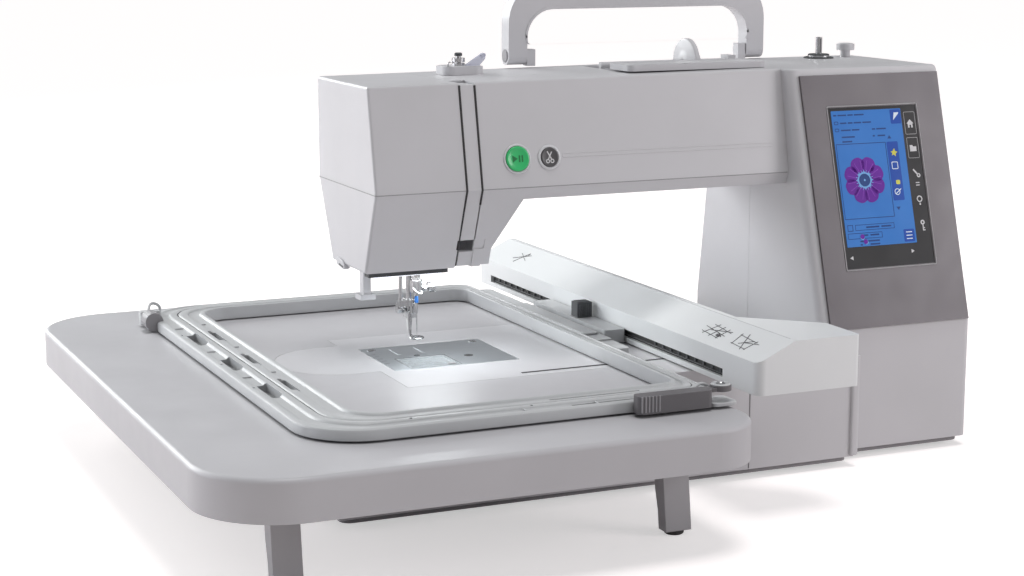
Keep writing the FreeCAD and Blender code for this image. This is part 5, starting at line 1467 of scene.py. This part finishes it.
def makeLeg(name, body, node, centreX, side):
    # side is -1 for a front leg and 1 for a rear leg
    half, wall = legs["width"] / 2, legs["wall"]
    bm = bmesh.new()

    def section(z):
        lean = (legs["high"] - z) * legs["leanOut"] / legs["leanHeight"]
        front = side * (legs["front"] + lean)
        back = front - side * legs["depth"] * (1.0 if z > 20 else legs["toeShare"])
        inner = front - side * wall
        return [(centreX - half, front, z), (centreX + half, front, z), (centreX + half, back, z),
                (centreX + half - wall, back, z), (centreX + half - wall, inner, z),
                (centreX - half + wall, inner, z), (centreX - half + wall, back, z),
                (centreX - half, back, z)]
    loft(bm, [section(z) for z in (legs["high"] - 6, 50, 30, 16, legs["low"] + 4, legs["low"])], closed=False)
    # the leg channel takes the darker copy of the shell: painted shade
    leg = finish(bm, name, body, "legShell", bevel=0.7)
    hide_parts(node)
    bm = bmesh.new()
    turned(bm, [(0.01, 0.0), (legs["foot"] - 0.8, 0.0), (legs["foot"], 0.8), (legs["foot"], 4.0),
                (legs["foot"] - 1.2, 5.0), (3.2, 5.4), (3.2, 12), (0.01, 12)],
           Matrix.Translation((centreX, side * legs["footY"], 0)), 36)
    finish(bm, name + "Rubber", body, "foot_rubber", angle=40)
    bm = bmesh.new()
    where = axes((centreX, side * legs["pivotY"], legs["pivotZ"]), (0, 1, 0), (0, 0, 1))
    turned(bm, [(0.01, -half - 1.2), (3.4, -half - 1.2), (3.4, -half), (2.2, -half), (2.2, half), (3.4, half),
                (3.4, half + 1.2), (0.01, half + 1.2)], where, 24)
    finish(bm, name + "Pin", body, "steel")


for end, side in (("front", -1), ("rear", 1)):
    for hand in ("Right", "Left"):
        makeLeg(f"{end}{hand}Leg", f"leg_{end}_{hand.lower()}", f"table_leg_{end}_{hand.lower()}",
                legs[hand.lower() + "X"], side)
print("housing, hoop hardware and legs made")


# sides that face away: louvres, case screws, handwheel grip, ports, lid and winder trim, table ribs
rear = {"columnBack": 75.0, "bedBack": 90.0, "right": 324.0}


def makeRearDetails():
    back = rear["columnBack"]

    # the louvre openings are dark strips: painted shade inside the vents
    def louvre(part):
        where = axes((0, 0, 0), (1, 0, 0), (0, 0, 1))
        slab(part, roundRect(-44, -1.5, 44, 1.5, 1.4, 5), -0.12, 0.35, where)

    def hood(part):
        where = axes((0, 0, 0), (1, 0, 0), (0, 0, 1))
        slab(part, roundRect(-46, 1.5, 46, 2.9, 0.6, 3), -1.5, 0.3, where)
    rows = [(11, (254, back, 150), (0, 0, 8), (0, 0, 0))]
    repeated("backLouvres", louvre, rows, "machine", "gapDark")
    repeated("backLouvreHoods", hood, rows, "machine", "pale_shell", bevel=0.3)
    screwRows = [(2, (206, back, 272), (98, 0, 0), 0), (2, (206, back, 128), (98, 0, 0), 30),
                 (3, (-30, back, 270), (75, 0, 0), 0), (4, (-150, rear["bedBack"], 30), (86, 0, 0), 0)]
    turnedRows = [(count, start, step, (-90, 0, turn)) for count, start, step, turn in screwRows]
    repeated("caseScrewsBack", slotScrew(3.4, 1.2), turnedRows, "machine", "steel")

    def well(part):
        rim = [(3.6, -0.2), (5.6, -0.2), (5.6, 0.5), (5.2, 0.9), (4.0, 0.9), (3.6, 0.5)]
        turnedRing(part, rim, segments=24)
    levelRows = [(count, start, step, (-90, 0, 0)) for count, start, step, turn in screwRows]
    repeated("screwWells", well, levelRows, "machine", "pale_shell")


def makeRightDetails():
    right = rear["right"]

    def grip(part):
        slab(part, roundRect(-0.9, -1.0, 0.9, 1.0, 0.6, 3), -5.2, 5.2)
    repeated("wheelGrip", grip, [(44, (332.6, 11, 250), 33.1, (0, 90, 0))], "drive", "pale_shell",
             round=True, bevel=0.2)
    bm = bmesh.new()
    where = axes((336.2, 11, 250), (0, 1, 0), (0, 0, 1))
    hub = [(0.01, -0.4), (22.6, -0.4), (22.6, 0.4), (9.0, 1.2), (8.0, 3.2), (7.2, 3.6), (0.01, 3.7)]
    turned(bm, hub, where, 64)
    finish(bm, "wheelHub", "drive", "pale_shell", angle=40)
    bm = bmesh.new()
    side = axes((right, 0, 0), (0, 1, 0), (0, 0, 1))
    for left, low, width, height in ((-74, 62, 15, 8), (-74, 46, 12, 6), (-48, 46, 34, 24)):
        ringSlab(bm, roundRect(left, low, left + width, low + height, 1.4),
                 roundRect(left + 1, low + 1, left + width - 1, low + height - 1, 0.8), -0.3, 0.9, side)
    finish(bm, "portRims", "machine", "pale_shell", bevel=0.2)
    # the port mouths are dark sheets: painted shade inside the ports
    bm = bmesh.new()
    for left, low, width, height in ((-74, 62, 15, 8), (-74, 46, 12, 6)):
        mouth = roundRect(left + 0.9, low + 0.9, left + width - 0.9, low + height - 0.9, 0.8)
        slab(bm, mouth, -0.3, 0.15, side)
    finish(bm, "portMouths", "machine", "gapDark")
    bm = bmesh.new()
    slab(bm, roundRect(-47, 47, -15, 69, 0.8), -0.3, 0.55, side)
    finish(bm, "portDoor", "machine", "mid_grey", bevel=0.25)
    bm = bmesh.new()
    ringSlab(bm, roundRect(37, 17, 67, 43, 3), roundRect(40.4, 20.4, 63.6, 39.6, 1), -0.4, 1.0, side)
    ringSlab(bm, roundRect(6.5, 18.5, 33.5, 41.5, 2), roundRect(8.2, 21.2, 31.8, 38.8, 1), -0.4, 0.9, side)
    finish(bm, "powerRims", "machine", "black_part", bevel=0.3)

    # the side louvre openings are dark strips: painted shade inside the vents
    def slot(part):
        where = axes((0, 0, 0), (0, 1, 0), (0, 0, 1))
        slab(part, roundRect(-22, -1.2, 22, 1.2, 1.1, 4), -0.1, 0.3, where)
    repeated("sideLouvres", slot, [(7, (right, 40, 92), (0, 0, 6.4), (0, 0, 0))], "machine", "gapDark")
    repeated("caseScrewsRight", slotScrew(3.2, 1.0), [
        (2, (right, -58, 22), (0, 0, 190), (0, 90, 20)),
        (2, (right, 60, 60), (0, 0, 220), (0, 90, -30)),
    ], "machine", "steel")


def makeTopDetails():
    bm = bmesh.new()
    # shallow finger dip and edge line of the lid
    ringSlab(bm, roundRect(64, -18.5, 176, 9, 4), roundRect(64.8, -17.7, 175.2, 8.2, 3.4), 303.7, 304.15)
    finish(bm, "lidEdgeLine", "lid", "pale_shell", bevel=0.15)
    bm = bmesh.new()
    slab(bm, roundRect(108, -21.4, 132, -17.0, 2), 303.4, 304.6)
    finish(bm, "lidFingerLip", "lid", "pale_shell", bevel=0.4)
    bm = bmesh.new()
    turnedRing(bm, [(3.0, 301.2), (8.6, 301.2), (8.8, 301.6), (8.8, 302.2), (8.2, 302.6), (3.6, 302.7),
                    (3.0, 302.4)],
               Matrix.Translation((274, 51, 0)), 40)
    turnedRing(bm, [(10.2, 298.9), (12.4, 298.9), (12.4, 299.6), (11.6, 300.2), (10.6, 300.2), (10.2, 299.8)],
               Matrix.Translation((274, 51, 0)), 40)
    finish(bm, "winderCollar", "winder", "dark_grey", angle=45)
    bm = bmesh.new()
    slab(bm, bar(274, 48.2, 274, 53.8, 0.8), 303.5, 315.4)
    finish(bm, "winderSpring", "winder", "dark_grey")
    bm = bmesh.new()
    turned(bm, [(0.01, 309.8), (6.6, 309.8), (6.4, 310.5), (4.2, 310.8), (0.01, 310.6)],
           Matrix.Translation((301, 52.5, 0)), 36)
    finish(bm, "stopperTop", "machine", "pale_shell", angle=50)
    bm = bmesh.new()
    cap = axes((142, 40, 300), (0, 1, 0), (0, 0, 1))
    turnedRing(bm, [(2.8, -1.6), (6.0, -1.6), (7.2, -0.6), (11.0, -0.4), (17.4, -0.4), (18.8, 0.2),
                    (18.8, -0.9), (17.2, -1.6), (10.8, -1.5), (7.8, -2.2), (6.2, -2.9), (2.8, -2.9)], cap, 56)
    finish(bm, "spoolCapFace", "spool_stop", "pale_shell", angle=40)
    bm = bmesh.new()
    post = Matrix.Translation((-54, 40, 0))
    turnedRing(bm, [(2.1, 306.2), (4.7, 306.2), (4.7, 306.7), (2.1, 306.7)], post, 32)
    turned(bm, [(0.01, 310.6), (3.0, 310.6), (3.0, 312.4), (2.4, 313.0), (0.01, 313.0)], post, 32)
    finish(bm, "tensionCap", "machine", "dark_grey", angle=40)
    bm = bmesh.new()
    slab(bm, roundRect(-68.5, 27.5, -38.5, 50.5, 7), 302.9, 303.5)
    finish(bm, "guidePlate", "machine", "pale_shell", bevel=0.25)
    wire("guideHook", [[(-66, 31, 303), (-67, 30, 306.4), (-63, 28.4, 307.4), (-60.5, 29.4, 305.2)]], 0.5,
         "machine", "steel", smooth=True)
    # the guide slot is a dark strip: painted shade in the opening
    bm = bmesh.new()
    slab(bm, bar(-66, 33, -52, 27.6, 2.0), 300.6, 302.0)
    finish(bm, "guideSlot", "machine", "gapDark")


def makeHandleDetails():
    # raised inner edge along the opening of the carrying handle, and pivot caps
    inner = roundRect(15, 300.4, 213, 343, 22, 8)
    outer = roundRect(13.2, 300.4, 214.8, 344.8, 23.6, 8)
    bm = bmesh.new()
    front = axes((0, 65, 0), (1, 0, 0), (0, 0, 1))
    upper = [(x, max(z, 316)) for x, z in outer]
    lower = [(x, max(z, 316)) for x, z in inner]
    ringSlab(bm, upper, lower, -0.2, 0.45, front)
    finish(bm, "handleEdge", "handle", "pale_shell", bevel=0.15)
    bm = bmesh.new()
    for x, turn in ((-1.0, -1), (229.0, 1)):
        where = axes((x, 72, 307), (0, turn, 0), (0, 0, 1))
        turned(bm, [(0.01, -0.3), (5.2, -0.3), (5.2, 0.3), (4.6, 0.8), (0.01, 0.9)], where, 30)
    finish(bm, "handlePivotCaps", "handle", "mid_grey")


def makeTableRibs():
    def rib(part):
        slab(part, [(-0.9, 0), (0.9, 0), (0.9, 138), (-0.9, 138)], 80.6, 85.2)
    repeated("tableRibs", rib, [(7, (-300, -264, 0), (50, 0, 0), (0, 0, 0)),
                                (7, (-300, 122, 0), (50, 0, 0), (0, 0, 0))], "machine", "pale_shell")

    def pad(part):
        turned(part, [(0.01, 84.9), (3.4, 84.9), (3.4, 78), (2.8, 77.4), (0.01, 77.4)], segments=20)
    repeated("tableBosses", pad, [(4, (-250, -150, 0), (75, 0, 0), (0, 0, 0)),
                                  (4, (-250, 130, 0), (75, 0, 0), (0, 0, 0))], "machine", "pale_shell")


makeRearDetails()
makeRightDetails()
makeTopDetails()
makeHandleDetails()
makeTableRibs()
print("rear, right, top and underside details made")
